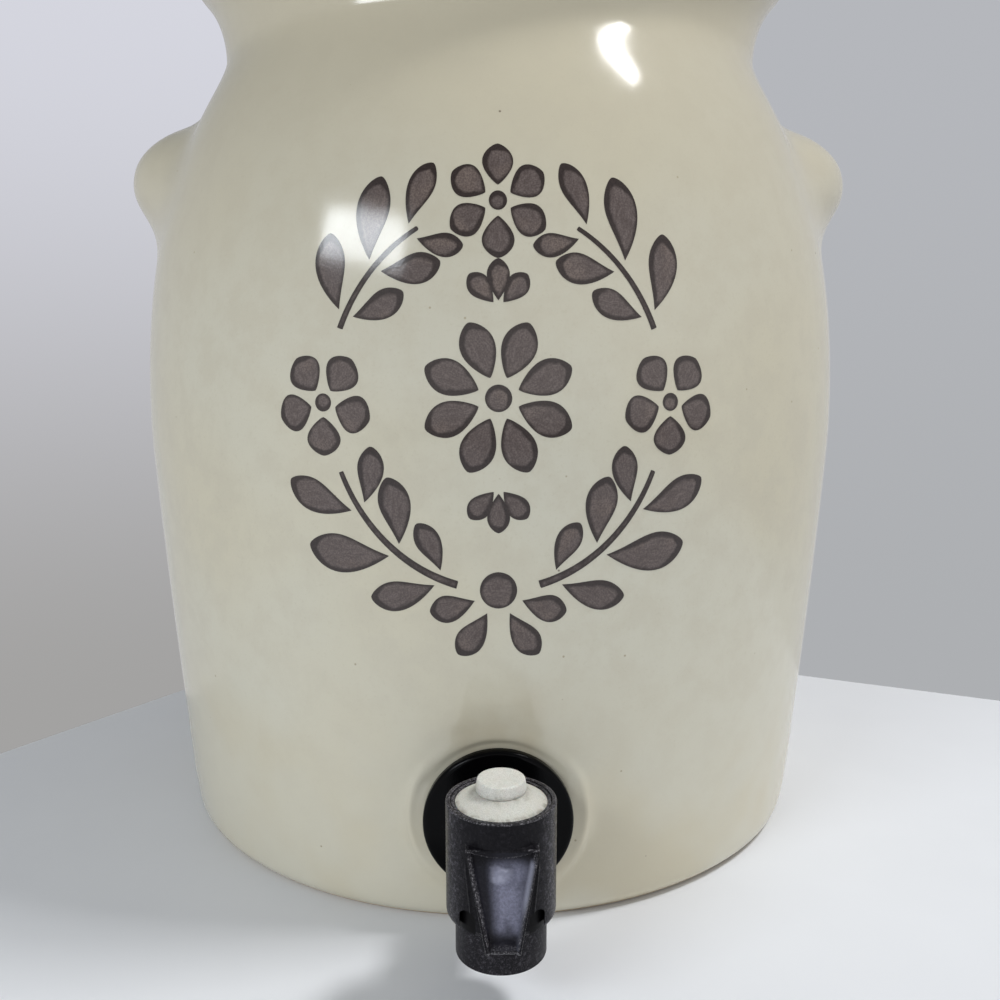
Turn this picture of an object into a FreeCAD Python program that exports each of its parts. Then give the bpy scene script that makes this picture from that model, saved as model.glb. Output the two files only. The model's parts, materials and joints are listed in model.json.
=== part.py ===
"""Stoneware water crock with lug ears, a loose lid and a push-button tap at the foot.

Millimetres, +Z up. The origin is the centre of the foot, on the surface that the pot stands on,
and the tap points along -Y. Every tap piece is drawn about the tap's own centre, where the
upright barrel's axis meets the axis of the shank.
"""

import FreeCAD, Part
import math
import os
import re

import Sketcher

# Driving dimensions. Radii end in _r, heights above the foot in _z; the ears' droop is in degrees.
SIZES = {
    # crock wall, outside
    "foot_bevel": 2.5,
    "foot_edge_r": 110.7,
    "foot_swell": 2.9,
    "belly_r": 121.6,
    "belly_z": 137.3,
    "belly_pull_low": 16.0,
    "belly_pull_high": 87.0,
    "neck_r": 91.2,
    "neck_drop": 40.6,
    "neck_pull": 12.8,
    "neck_rise": 8.4,
    # rim
    "rim_z": 298.3,
    "rim": 15.5,
    "rim_flare": 9.8,
    "rim_lean": 7.5,
    "rim_low_round": 3.0,
    "rim_top_round": 6.0,
    "rim_width": 13.0,
    "ledge_drop": 6.5,
    "ledge": 7.4,
    # crock, inside
    "wall": 9.0,
    "floor": 10.0,
    "floor_round": 8.0,
    # lug ears
    "ear_drop": 33.5,
    "ear_bury": 6.0,
    "ear_reach": 26.8,
    "ear_half_height": 16.5,
    "ear_half_width": 33.3,
    "ear_droop": 9.0,
    "ear_fillet": 10.0,
    # flat pad and hole for the tap
    "tap_z": 33.6,
    "pad_r": 27.0,
    "pad_proud": 2.8,
    "pad_wall": 10.1,
    "pad_inner_r": 20.0,
    "tap_hole_r": 10.5,
    # lid
    "lid_gap": 1.0,
    "lid_edge": 6.5,
    "lid_rise": 8.0,
    "lid_plug": 6.0,
    "lid_plug_width": 7.0,
    "knob_neck_r": 11.0,
    "knob_neck": 6.0,
    "knob_r": 17.5,
    "knob_head": 14.0,
    # tap barrel: heights are counted from the shank's axis
    "tap_reach": 28.9,
    "flange_r": 21.0,
    "flange": 2.7,
    "flange_round": 1.3,
    "shank_r": 9.5,
    "shank_bore_r": 6.5,
    "shank_tail": 4.0,
    "thread_depth": 0.8,
    "thread_pitch": 2.0,
    "barrel_r": 12.3,
    "barrel_bore_r": 10.3,
    "barrel_top": 18.3,
    "barrel_drop": 6.0,
    "guide_seat": 8.4,
    "guide_step": 0.5,
    "nozzle_r": 11.35,
    "nozzle_bore_r": 9.7,
    "nozzle_drop": 17.8,
    "seat_top": 7.4,
    "seat": 1.9,
    "seat_hole_r": 6.2,
    # shroud
    "shroud_r": 13.6,
    "shroud_top": 21.8,
    "shroud_drop": 7.4,
    "shroud_lip": 1.3,
    "shroud_round": 1.4,
    "notch_r": 1.8,
    "notch_spread": 8.0,
    "notch_crown": 3.6,
    "hook_top": 15.4,
    "hook_top_half": 8.3,
    "hook_top_reach": 14.6,
    "hook_tip_half": 4.1,
    "hook_tip_reach": 20.5,
    "hook_root": 10.0,
    "hook_rib": 1.1,
    "hook_dish": 1.6,
    "hook_lip": 2.6,
    # clamped white diaphragm and button
    "clamp_low": 1.0,
    "clamp_top": 21.4,
    "clamp_width": 0.9,
    "skin": 1.0,
    "cone_base": 21.2,
    "cone_top": 24.0,
    "cone_r": 6.6,
    "button_r": 6.15,
    "button": 2.6,
    "button_round": 0.8,
    "socket": 1.6,
    # valve
    "stem_r": 2.2,
    "collar_r": 5.4,
    "collar": 1.2,
    "guide": 2.0,
    "guide_hub_r": 4.2,
    "guide_arm": 2.4,
    "guide_ring": 1.6,
    "disc_r": 8.2,
    "disc": 2.2,
    "keeper_r": 4.6,
    "keeper": 1.4,
    "stem_foot_r": 3.0,
    "stem_foot": 0.8,
    "spring_wire_r": 0.45,
    "spring_r": 3.6,
    "spring_pitch": 2.3,
    # washers and nut on the shank
    "gasket": 1.5,
    "gasket_r": 19.0,
    "inner_gasket": 2.0,
    "inner_gasket_r": 17.0,
    "washer": 1.2,
    "washer_r": 16.0,
    "nut": 8.0,
    "nut_corner_r": 16.5,
    # clearances
    "fit": 0.05,
    "slide_fit": 0.1,
    "slot_gap": 0.5,
    "valve_gap": 0.02,
    "overshoot": 2.0,
}

# Places that several pieces share, as expressions of the sizes.
RIM_LOW_Z = "(rim_z - rim)"
NECK_Z = "(rim_z - neck_drop)"
LEDGE_Z = "(rim_z - ledge_drop)"
RIM_R = "(neck_r + rim_flare)"
MOUTH_R = f"({RIM_R} - rim_width)"
THROAT_R = f"({MOUTH_R} - ledge)"
EAR_ROOT_R = "((belly_r + neck_r) / 2 - ear_bury)"
PAD_FACE = "(foot_edge_r + pad_proud)"
TAP_AXIS = f"({PAD_FACE} + gasket + flange + tap_reach)"
INNER_FACE = f"({PAD_FACE} - pad_wall)"
SHANK_END = "(tap_reach + flange + gasket + pad_wall + inner_gasket + washer + nut + shank_tail)"
SEAT_LOW = "(-seat_top - seat)"
DISC_LOW = f"({SEAT_LOW} - valve_gap - disc)"
KEEPER_LOW = f"({DISC_LOW} - keeper)"
WEB_LOW = "(cone_top - skin)"
GUIDE_TOP = "(guide_seat + guide)"
SPRING_ROOM = f"({WEB_LOW} - collar - {GUIDE_TOP})"
SHROUD_BORE_R = "(barrel_r + slide_fit)"

ALONG_MINUS_Y = FreeCAD.Rotation(FreeCAD.Vector(1, 0, 0), 90)
UPRIGHT = FreeCAD.Rotation()

doc = FreeCAD.newDocument("clay_water_pot_with_tap")
sheet = doc.addObject("Spreadsheet::Sheet", "sizes")


def fill_sheet():
    for row, (name, size) in enumerate(SIZES.items(), start=1):
        sheet.set(f"A{row}", name)
        sheet.set(f"B{row}", str(size))
        sheet.setAlias(f"B{row}", name)
    doc.recompute()


# Expressions


def named(text):
    """The expression with each size's plain name turned into a reference to the sheet."""
    return re.sub(r"\b[a-z]\w*\b(?!\()", r"sizes.\g<0>", text)


def bind(item, field, text):
    item.setExpression(field, named(text))


def value(text):
    return float(sheet.evalExpression(named(text)))


# Sketches


def new_body(label, y="0", z="0"):
    body = doc.addObject("PartDesign::Body", label)
    body.Label = label
    bind(body, "Placement.Base.y", y)
    bind(body, "Placement.Base.z", z)
    return body


def new_tap_body(label):
    return new_body(label, y=f"-{TAP_AXIS}", z="tap_z")


def origin_plane(body, role):
    return next(item for item in body.Origin.OriginFeatures if item.Role == role)


def new_sketch(body, name, role, lift="0"):
    sketch = body.newObject("Sketcher::SketchObject", f"{body.Name}_{name}")
    sketch.AttachmentSupport = [(origin_plane(body, role), "")]
    sketch.MapMode = "FlatFace"
    bind(sketch, "AttachmentOffset.Base.z", lift)
    return sketch


def dimension(sketch, text, kind, *where):
    index = sketch.addConstraint(Sketcher.Constraint(kind, *where, value(text)))
    bind(sketch, f"Constraints[{index}]", text)


def pin(sketch, geometry, position, point):
    """Hold one point of the geometry at a pair of expressions, counted from the origin."""
    dimension(sketch, point[0], "DistanceX", -1, 1, geometry, position)
    dimension(sketch, point[1], "DistanceY", -1, 1, geometry, position)


def add_leg(sketch, poles):
    """A straight line for two poles, a cubic curve for four."""
    vectors = [FreeCAD.Vector(value(across), value(up), 0) for across, up in poles]
    if len(vectors) == 2:
        return sketch.addGeometry(Part.LineSegment(*vectors), False)
    curve = Part.BSplineCurve()
    curve.buildFromPolesMultsKnots(vectors, [4, 4], [0, 1], False, 3)
    geometry = sketch.addGeometry(curve, False)
    sketch.exposeInternalGeometry(geometry)
    for handle in (1, 2):
        pin(sketch, geometry + 1 + handle, 3, poles[handle])
    return geometry


def outline(sketch, start, *legs):
    """A closed outline. A leg is its end point, or a curve's two handles and its end point."""
    at = start
    ids = []
    for leg in legs + (start,):
        ends = [leg] if isinstance(leg[0], str) else list(leg)
        geometry = add_leg(sketch, [at] + ends)
        pin(sketch, geometry, 1, at)
        ids.append(geometry)
        at = ends[-1]
    for before, after in zip(ids, ids[1:] + ids[:1]):
        sketch.addConstraint(Sketcher.Constraint("Coincident", before, 2, after, 1))
    return sketch


def circle(sketch, radius, x="0", y="0"):
    centre = FreeCAD.Vector(value(x), value(y), 0)
    shape = Part.Circle(centre, FreeCAD.Vector(0, 0, 1), value(radius))
    geometry = sketch.addGeometry(shape, False)
    pin(sketch, geometry, 3, (x, y))
    dimension(sketch, radius, "Radius", geometry)
    return sketch


# Features


def turn(body, sketch, axis="V_Axis", kind="Revolution"):
    feature = body.newObject(f"PartDesign::{kind}", f"{sketch.Name}_{kind}")
    feature.Profile = sketch
    feature.ReferenceAxis = (sketch, [axis])
    feature.Angle = 360
    return feature


def push(body, sketch, length, kind="Pad", reverse=False):
    feature = body.newObject(f"PartDesign::{kind}", f"{sketch.Name}_{kind}")
    feature.Profile = sketch
    feature.Reversed = reverse
    bind(feature, "Length", length)
    return feature


def loft(body, low, high, kind):
    feature = body.newObject(f"PartDesign::{kind}", f"{low.Name}_{kind}")
    feature.Profile = low
    feature.Sections = [high]
    feature.Ruled = True
    return feature


def solid(body, kind, name, rotation=UPRIGHT, x="0", y="0", z="0", **sizes):
    """A PartDesign primitive, placed in the body's frame."""
    feature = body.newObject(f"PartDesign::{kind}", f"{body.Name}_{name}")
    feature.Placement = FreeCAD.Placement(FreeCAD.Vector(), rotation)
    for field, text in zip("xyz", (x, y, z)):
        bind(feature, f"Placement.Base.{field}", text)
    for field, text in sizes.items():
        bind(feature, field, text)
    return feature


def mirror(body, feature):
    twin = body.newObject("PartDesign::Mirrored", f"{feature.Name}_twin")
    twin.Originals = [feature]
    twin.MirrorPlane = (origin_plane(body, "YZ_Plane"), [""])
    body.Tip = twin
    return twin


def ring_edges(shape, radius, place, axis="z"):
    """Names of the circles of a given radius that stand at a given place along an axis."""
    names = []
    for number, edge in enumerate(shape.Edges, start=1):
        if edge.Degenerated or not isinstance(edge.Curve, Part.Circle):
            continue
        found = (edge.Curve.Radius, getattr(edge.Curve.Center, axis))
        across = abs(getattr(edge.Curve.Axis, axis)) > 0.99
        if across and math.dist(found, (value(radius), value(place))) < 0.01:
            names.append(f"Edge{number}")
    return names


def fillet(body, name, radius, pick):
    """Round the edges of the body's newest feature that pick(shape) names."""
    doc.recompute()
    base = body.Tip
    feature = body.newObject("PartDesign::Fillet", f"{body.Name}_{name}")
    feature.Base = (base, pick(base.Shape))
    bind(feature, "Radius", radius)
    return feature


# The crock


def ear_root_edges(shape):
    """The closed edges where the ears meet the wall: those off the axis, above the belly."""
    names = []
    for number, edge in enumerate(shape.Edges, start=1):
        centre = edge.BoundBox.Center
        if abs(centre.x) > value("neck_r") and centre.z > value("belly_z"):
            names.append(f"Edge{number}")
    return names


def build_ear(body):
    """An ellipsoid sunk in the wall, with its seam inwards and its outer end drooping."""
    ear = body.newObject("PartDesign::AdditiveEllipsoid", f"{body.Name}_ear")
    bind(ear, "Placement",
         f"placement(vector({EAR_ROOT_R}; 0; {NECK_Z} - ear_drop); "
         "rotation(vector(0; 1; 0); ear_droop) * rotation(vector(0; 1; 1); 180))")
    bind(ear, "Radius1", "ear_half_width")
    bind(ear, "Radius2", "ear_reach")
    bind(ear, "Radius3", "ear_half_height")
    return ear


def build_crock():
    body = new_body("crock_pot")
    turn(body, outline(
        new_sketch(body, "outside", "YZ_Plane"),
        ("0", "0"),
        ("foot_edge_r - foot_bevel", "0"),
        ("foot_edge_r", "foot_bevel"),
        (("foot_edge_r + foot_swell", "foot_bevel"),
         ("belly_r", "belly_z - belly_pull_low"),
         ("belly_r", "belly_z")),
        (("belly_r", "belly_z + belly_pull_high"),
         ("neck_r", f"{NECK_Z} - neck_pull"),
         ("neck_r", NECK_Z)),
        (("neck_r", f"{NECK_Z} + neck_rise"),
         (f"{RIM_R} - rim_lean", f"{RIM_LOW_Z} - rim_lean"),
         (RIM_R, RIM_LOW_Z)),
        (RIM_R, "rim_z"),
        ("0", "rim_z")))
    mirror(body, build_ear(body))
    fillet(body, "ear_roots", "ear_fillet", ear_root_edges)
    solid(body, "AdditiveCylinder", "pad", ALONG_MINUS_Y, y=f"-{INNER_FACE}", z="tap_z",
          Radius="pad_r", Height="pad_wall")
    solid(body, "SubtractiveCylinder", "pad_face", ALONG_MINUS_Y, y=f"-{PAD_FACE}", z="tap_z",
          Radius="pad_r", Height="pad_wall")
    inner_low_r = "(foot_edge_r + foot_swell + pad_proud / 4 - wall)"
    corner = "(floor + floor_round)"
    turn(body, outline(
        new_sketch(body, "inside", "YZ_Plane"),
        ("0", "floor"),
        (f"{inner_low_r} - floor_round", "floor"),
        ((f"{inner_low_r} - 0.45 * floor_round", "floor"),
         (inner_low_r, "floor + 0.55 * floor_round"),
         (inner_low_r, corner)),
        ((inner_low_r, f"{corner} + 0.2 * (belly_z - {corner})"),
         ("belly_r - wall", "belly_z - belly_pull_low"),
         ("belly_r - wall", "belly_z")),
        (("belly_r - wall", "belly_z + belly_pull_high"),
         ("neck_r - wall", f"{NECK_Z} - neck_pull"),
         ("neck_r - wall", NECK_Z)),
        (THROAT_R, LEDGE_Z),
        (MOUTH_R, LEDGE_Z),
        (MOUTH_R, "rim_z + overshoot"),
        ("0", "rim_z + overshoot")), kind="Groove")
    solid(body, "AdditiveCylinder", "inner_pad", ALONG_MINUS_Y, y=f"-{INNER_FACE}", z="tap_z",
          Radius="pad_inner_r", Height="pad_wall / 2")
    solid(body, "SubtractiveCylinder", "tap_hole", ALONG_MINUS_Y,
          y=f"overshoot - {INNER_FACE}", z="tap_z",
          Radius="tap_hole_r", Height="pad_wall + 2 * overshoot")
    fillet(body, "rim_low_edge", "rim_low_round",
           lambda shape: ring_edges(shape, RIM_R, RIM_LOW_Z))
    fillet(body, "rim_top_edge", "rim_top_round",
           lambda shape: ring_edges(shape, RIM_R, "rim_z"))
    fillet(body, "mouth_edge", "lid_gap",
           lambda shape: ring_edges(shape, MOUTH_R, "rim_z"))
    return body


def build_lid():
    body = new_body("pot_lid", z=LEDGE_Z)
    plug_r = f"({THROAT_R} - lid_gap)"
    edge_r = f"({MOUTH_R} - lid_gap)"
    dome = "(lid_edge + lid_rise)"
    turn(body, outline(
        new_sketch(body, "outline", "XZ_Plane"),
        ("0", "0"),
        (f"{plug_r} - lid_plug_width", "0"),
        (f"{plug_r} - lid_plug_width", "-lid_plug"),
        (plug_r, "-lid_plug"),
        (plug_r, "0"),
        (edge_r, "0"),
        (edge_r, "lid_edge"),
        ((f"0.7 * {edge_r}", f"{dome} - lid_rise / 4"),
         (f"0.35 * {edge_r}", dome),
         ("knob_neck_r", dome)),
        ("knob_neck_r", f"{dome} + knob_neck"),
        (("knob_r", f"{dome} + knob_neck"),
         ("knob_r", f"{dome} + knob_neck + 0.3 * knob_head"),
         ("knob_r", f"{dome} + knob_neck + 0.5 * knob_head")),
        (("knob_r", f"{dome} + knob_neck + 0.85 * knob_head"),
         ("0.6 * knob_r", f"{dome} + knob_neck + knob_head"),
         ("0", f"{dome} + knob_neck + knob_head"))))
    fillet(body, "edge", "lid_gap", lambda shape: ring_edges(shape, edge_r, "lid_edge"))
    return body


# The tap


def build_barrel():
    body = new_tap_body("tap_barrel")
    turn(body, outline(
        new_sketch(body, "upright", "XZ_Plane"),
        ("0", "-nozzle_drop"),
        ("nozzle_r", "-nozzle_drop"),
        ("nozzle_r", "-barrel_drop"),
        ("barrel_r", "-barrel_drop"),
        ("barrel_r", "barrel_top"),
        ("0", "barrel_top")))
    turn(body, outline(
        new_sketch(body, "shank", "YZ_Plane"),
        ("0", "0"),
        ("0", "shank_r"),
        ("tap_reach", "shank_r"),
        ("tap_reach", "flange_r"),
        ("tap_reach + flange", "flange_r"),
        ("tap_reach + flange", "shank_r"),
        (SHANK_END, "shank_r"),
        (SHANK_END, "0")), axis="H_Axis")
    turn(body, outline(
        new_sketch(body, "bore", "XZ_Plane"),
        ("0", "-nozzle_drop - overshoot"),
        ("nozzle_bore_r", "-nozzle_drop - overshoot"),
        ("nozzle_bore_r", SEAT_LOW),
        ("seat_hole_r", SEAT_LOW),
        ("seat_hole_r", "-seat_top"),
        ("barrel_bore_r - guide_step", "-seat_top"),
        ("barrel_bore_r - guide_step", "guide_seat"),
        ("barrel_bore_r", "guide_seat"),
        ("barrel_bore_r", "barrel_top + overshoot"),
        ("0", "barrel_top + overshoot")), kind="Groove")
    turn(body, outline(
        new_sketch(body, "water_way", "YZ_Plane"),
        ("0", "0"),
        ("0", "shank_bore_r"),
        (f"{SHANK_END} + overshoot", "shank_bore_r"),
        (f"{SHANK_END} + overshoot", "0")), axis="H_Axis", kind="Groove")
    thread = turn(body, outline(
        new_sketch(body, "thread", "YZ_Plane"),
        (f"{SHANK_END} - thread_pitch / 4", "shank_r + thread_depth"),
        (f"{SHANK_END} - thread_pitch / 2", "shank_r - thread_depth"),
        (f"{SHANK_END} - 3 * thread_pitch / 4", "shank_r + thread_depth")),
        axis="H_Axis", kind="Groove")
    rows = body.newObject("PartDesign::LinearPattern", "tap_barrel_threads")
    rows.Originals = [thread]
    rows.Direction = (origin_plane(body, "XZ_Plane"), [""])
    rows.Mode = "Spacing"
    bind(rows, "Offset", "thread_pitch")
    bind(rows, "Occurrences", "floor((nut + shank_tail) / thread_pitch)")
    body.Tip = rows
    fillet(body, "flange_edge", "flange_round",
           lambda shape: ring_edges(shape, "flange_r", "tap_reach", axis="y"))
    return body


def build_shroud():
    body = new_tap_body("tap_shroud")
    turn(body, outline(
        new_sketch(body, "sleeve", "XZ_Plane"),
        ("nozzle_r + slide_fit", "-shroud_drop"),
        ("shroud_r", "-shroud_drop"),
        ("shroud_r", "shroud_top"),
        (SHROUD_BORE_R, "shroud_top"),
        (SHROUD_BORE_R, "-shroud_drop + shroud_lip"),
        ("nozzle_r + slide_fit", "-shroud_drop + shroud_lip")))
    fillet(body, "low_edge", "shroud_round",
           lambda shape: ring_edges(shape, "shroud_r", "-shroud_drop"))
    build_hook(body)
    solid(body, "SubtractiveCylinder", "nozzle_hole", z="-shroud_drop - overshoot",
          Radius="nozzle_r + slide_fit", Height="shroud_lip + 2 * overshoot")
    solid(body, "SubtractiveCylinder", "core", z=f"-shroud_drop + shroud_lip",
          Radius=SHROUD_BORE_R, Height="shroud_top + shroud_drop + overshoot")
    cut_shank_slot(body)
    cut_notches(body)
    return body


def build_hook(body):
    """The finger hook: a wedge that widens upwards and leans out downwards, with a dished face."""
    low = outline(
        new_sketch(body, "hook_tip", "XY_Plane", "-shroud_drop"),
        ("-hook_tip_half", "-hook_root"),
        ("-hook_tip_half", "-hook_tip_reach"),
        ("hook_tip_half", "-hook_tip_reach"),
        ("hook_tip_half", "-hook_root"))
    high = outline(
        new_sketch(body, "hook_top", "XY_Plane", "hook_top"),
        ("-hook_top_half", "-hook_root"),
        ("-hook_top_half", "-hook_top_reach"),
        ("hook_top_half", "-hook_top_reach"),
        ("hook_top_half", "-hook_root"))
    loft(body, low, high, "AdditiveLoft")
    dish_low = outline(
        new_sketch(body, "dish_tip", "XY_Plane", "hook_lip - shroud_drop"),
        ("-hook_tip_half + hook_rib", "hook_dish - hook_tip_reach"),
        ("-hook_tip_half + hook_rib", "-hook_tip_reach - overshoot"),
        ("hook_tip_half - hook_rib", "-hook_tip_reach - overshoot"),
        ("hook_tip_half - hook_rib", "hook_dish - hook_tip_reach"))
    dish_high = outline(
        new_sketch(body, "dish_top", "XY_Plane", "hook_top - hook_rib"),
        ("-hook_top_half + hook_rib", "hook_rib / 2 - hook_top_reach"),
        ("-hook_top_half + hook_rib", "-hook_tip_reach - overshoot"),
        ("hook_top_half - hook_rib", "-hook_tip_reach - overshoot"),
        ("hook_top_half - hook_rib", "hook_rib / 2 - hook_top_reach"))
    loft(body, dish_low, dish_high, "SubtractiveLoft")


def cut_shank_slot(body):
    """The slot at the back that lets the shroud drop over the shank."""
    solid(body, "SubtractiveBox", "slot", x="-shank_r - slot_gap", z="-shroud_drop - overshoot",
          Length="2 * (shank_r + slot_gap)", Width="shroud_r + overshoot",
          Height="shroud_drop + overshoot")
    solid(body, "SubtractiveCylinder", "slot_crown", ALONG_MINUS_Y, y="shroud_r + overshoot",
          Radius="shank_r + slot_gap", Height="shroud_r + overshoot")


def cut_notches(body):
    """Two arched drain notches, one each side of the hook."""
    for name, side in (("left", "-"), ("right", "")):
        solid(body, "SubtractiveBox", f"{name}_notch",
              x=f"{side}notch_spread - notch_r", y="-shroud_r - overshoot",
              z="-shroud_drop - overshoot", Length="2 * notch_r", Width="shroud_r",
              Height="shroud_drop + overshoot - notch_crown")
        solid(body, "SubtractiveCylinder", f"{name}_notch_crown", ALONG_MINUS_Y,
              x=f"{side}notch_spread", y="-overshoot", z="-notch_crown",
              Radius="notch_r", Height="shroud_r + overshoot")


def build_clamp_ring():
    body = new_tap_body("clamp_ring")
    turn(body, outline(
        new_sketch(body, "ring", "XZ_Plane"),
        ("barrel_r - clamp_width", "barrel_top + clamp_low"),
        ("barrel_r", "barrel_top + clamp_low"),
        ("barrel_r", "clamp_top"),
        ("barrel_r - clamp_width", "clamp_top")))
    return body


def build_diaphragm():
    """The flexible white cone: clamped flange, short wall, cone and flat middle web."""
    body = new_tap_body("button_diaphragm")
    wall_r = "(barrel_r - clamp_width - fit)"
    turn(body, outline(
        new_sketch(body, "skin", "XZ_Plane"),
        (f"{wall_r} - skin", "barrel_top"),
        ("barrel_r - fit", "barrel_top"),
        ("barrel_r - fit", "barrel_top + clamp_low"),
        (wall_r, "barrel_top + clamp_low"),
        (wall_r, "cone_base"),
        ("cone_r", "cone_top"),
        ("stem_r + fit", "cone_top"),
        ("stem_r + fit", WEB_LOW),
        ("cone_r - skin / 3", WEB_LOW),
        (f"{wall_r} - skin", "cone_base - skin")))
    return body


def build_button():
    body = new_tap_body("push_button")
    turn(body, outline(
        new_sketch(body, "boss", "XZ_Plane"),
        ("0", "cone_top + fit + socket"),
        ("stem_r + fit", "cone_top + fit + socket"),
        ("stem_r + fit", "cone_top + fit"),
        ("button_r", "cone_top + fit"),
        ("button_r", "cone_top + button"),
        ("0", "cone_top + button")))
    fillet(body, "top_edge", "button_round",
           lambda shape: ring_edges(shape, "button_r", "cone_top + button"))
    return body


def build_stem():
    """The rod from the button to the valve disc, with a spring collar and a disc collar."""
    body = new_tap_body("valve_stem")
    disc_top = f"({SEAT_LOW} - valve_gap)"
    turn(body, outline(
        new_sketch(body, "rod", "XZ_Plane"),
        ("0", f"{KEEPER_LOW} - stem_foot"),
        ("stem_foot_r", f"{KEEPER_LOW} - stem_foot"),
        ("stem_foot_r", KEEPER_LOW),
        ("stem_r", KEEPER_LOW),
        ("stem_r", disc_top),
        ("keeper_r", disc_top),
        ("keeper_r", f"{disc_top} + keeper"),
        ("stem_r", f"{disc_top} + keeper"),
        ("stem_r", f"{WEB_LOW} - collar - fit"),
        ("collar_r", f"{WEB_LOW} - collar - fit"),
        ("collar_r", f"{WEB_LOW} - fit"),
        ("stem_r", f"{WEB_LOW} - fit"),
        ("stem_r", "cone_top + fit + socket"),
        ("0", "cone_top + fit + socket")))
    return body


def build_stem_guide():
    """A hub on three arms in a ring that sits on the step in the barrel's bore."""
    body = new_tap_body("stem_guide")
    ring = circle(new_sketch(body, "ring", "XY_Plane", "guide_seat"), "barrel_bore_r - fit")
    circle(ring, "barrel_bore_r - fit - guide_ring")
    push(body, ring, "guide")
    hub = circle(new_sketch(body, "hub", "XY_Plane", "guide_seat"), "guide_hub_r")
    reach = "(barrel_bore_r - fit - guide_ring / 2)"
    half = "guide_arm / 2"
    outline(new_sketch(body, "arm", "XY_Plane", "guide_seat"),
            ("0", f"-{half}"), (reach, f"-{half}"), (reach, half), ("0", half))
    arm = push(body, doc.getObject(f"{body.Name}_arm"), "guide")
    arms = body.newObject("PartDesign::PolarPattern", "stem_guide_arms")
    arms.Originals = [arm]
    arms.Axis = (doc.getObject(f"{body.Name}_arm"), ["N_Axis"])
    arms.Angle = 360
    arms.Occurrences = 3
    body.Tip = arms
    push(body, hub, "guide")
    solid(body, "SubtractiveCylinder", "hole", z="guide_seat - overshoot",
          Radius="stem_r + fit", Height="guide + 2 * overshoot")
    return body


def build_tap_ring(label, low, thickness, outer_r, inner_r):
    """A flat ring about the tap's upright axis."""
    body = new_tap_body(label)
    ring = circle(new_sketch(body, "ring", "XY_Plane", low), outer_r)
    circle(ring, inner_r)
    push(body, ring, thickness)
    return body


def build_spring():
    """A round-wire coil between the guide and the stem's collar, both ends just clear."""
    helix = doc.addObject("Part::Helix", "spring_path")
    bind(helix, "Pitch", "spring_pitch")
    bind(helix, "Height", f"{SPRING_ROOM} - 2 * spring_wire_r - 3 * fit")
    bind(helix, "Radius", "spring_r")
    bind(helix, "Placement.Base.y", f"-{TAP_AXIS}")
    bind(helix, "Placement.Base.z", f"tap_z + {GUIDE_TOP} + spring_wire_r + fit")
    wire = doc.addObject("Part::Circle", "spring_wire")
    wire.Placement = FreeCAD.Placement(FreeCAD.Vector(), ALONG_MINUS_Y)
    bind(wire, "Radius", "spring_wire_r")
    bind(wire, "Placement.Base.x", "spring_r")
    bind(wire, "Placement.Base.y", f"-{TAP_AXIS}")
    bind(wire, "Placement.Base.z", f"tap_z + {GUIDE_TOP} + spring_wire_r + fit")
    coil = doc.addObject("Part::Sweep", "return_spring")
    coil.Label = "return_spring"
    coil.Sections = [wire]
    coil.Spine = (helix, [])
    coil.Solid = True
    coil.Frenet = True
    return coil


# Seals and fasteners on the shank: places are distances from the pot's axis


def build_shank_ring(label, outer_face, thickness, outer_r):
    """A flat ring on the shank that ends at a given distance from the pot's axis."""
    body = new_body(label, y=f"{thickness} - {outer_face}", z="tap_z")
    ring = circle(new_sketch(body, "ring", "XZ_Plane"), outer_r)
    circle(ring, "shank_r + fit")
    push(body, ring, thickness)
    return body


def build_nut():
    nut_face = f"({INNER_FACE} - inner_gasket - washer)"
    body = new_body("lock_nut", y=f"nut - {nut_face}", z="tap_z")
    corners = []
    for step in range(6):
        angle = math.radians(60 * step)
        corners.append((f"{math.cos(angle):.6f} * nut_corner_r", f"{math.sin(angle):.6f} * nut_corner_r"))
    hexagon = outline(new_sketch(body, "hexagon", "XZ_Plane"), corners[0], *corners[1:])
    push(body, circle(hexagon, "shank_r + fit"), "nut")
    return body


def build_all():
    return [
        build_crock(),
        build_lid(),
        build_barrel(),
        build_shroud(),
        build_clamp_ring(),
        build_diaphragm(),
        build_button(),
        build_stem(),
        build_spring(),
        build_stem_guide(),
        build_tap_ring("valve_disc", DISC_LOW, "disc", "disc_r", "stem_r + fit"),
        build_tap_ring("disc_retainer", KEEPER_LOW, "keeper - fit", "keeper_r", "stem_r + fit"),
        build_shank_ring("outer_gasket", f"({PAD_FACE} + gasket)", "gasket", "gasket_r"),
        build_shank_ring("inner_gasket", INNER_FACE, "inner_gasket", "inner_gasket_r"),
        build_shank_ring("slip_washer", f"({INNER_FACE} - inner_gasket)", "washer", "washer_r"),
        build_nut(),
    ]


def check(pieces):
    """Stop if a feature failed or a piece isn't one valid solid."""
    for item in doc.Objects:
        if "Invalid" in item.State or "Error" in item.State:
            raise RuntimeError(f"{item.Name}: {item.State}")
    for piece in pieces:
        shape = piece.Shape
        if shape.isNull() or not shape.isValid() or len(shape.Solids) != 1:
            raise RuntimeError(f"{piece.Label} is not one valid solid")


def export(pieces):
    os.makedirs("parts", exist_ok=True)
    for piece in pieces:
        piece.Shape.exportStep(f"parts/{piece.Label}.step")


fill_sheet()
PIECES = build_all()
doc.recompute()
check(PIECES)
export(PIECES)
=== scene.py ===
"""The looks of a stoneware water crock with a push-button tap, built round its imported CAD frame.

The part's own frame is kept: +Z up, origin at the centre of the foot, tap along -Y. Lengths here are
millimetres until new_mesh() turns them into metres. Angles round the crock are counted from the
front, where the tap is, towards +X. The crock, the lid and the tap's shroud, ring, cone, button and
spring are modelled here; its barrel, valve, seals and nut keep their CAD meshes and get materials.
"""

import json
import math

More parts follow.
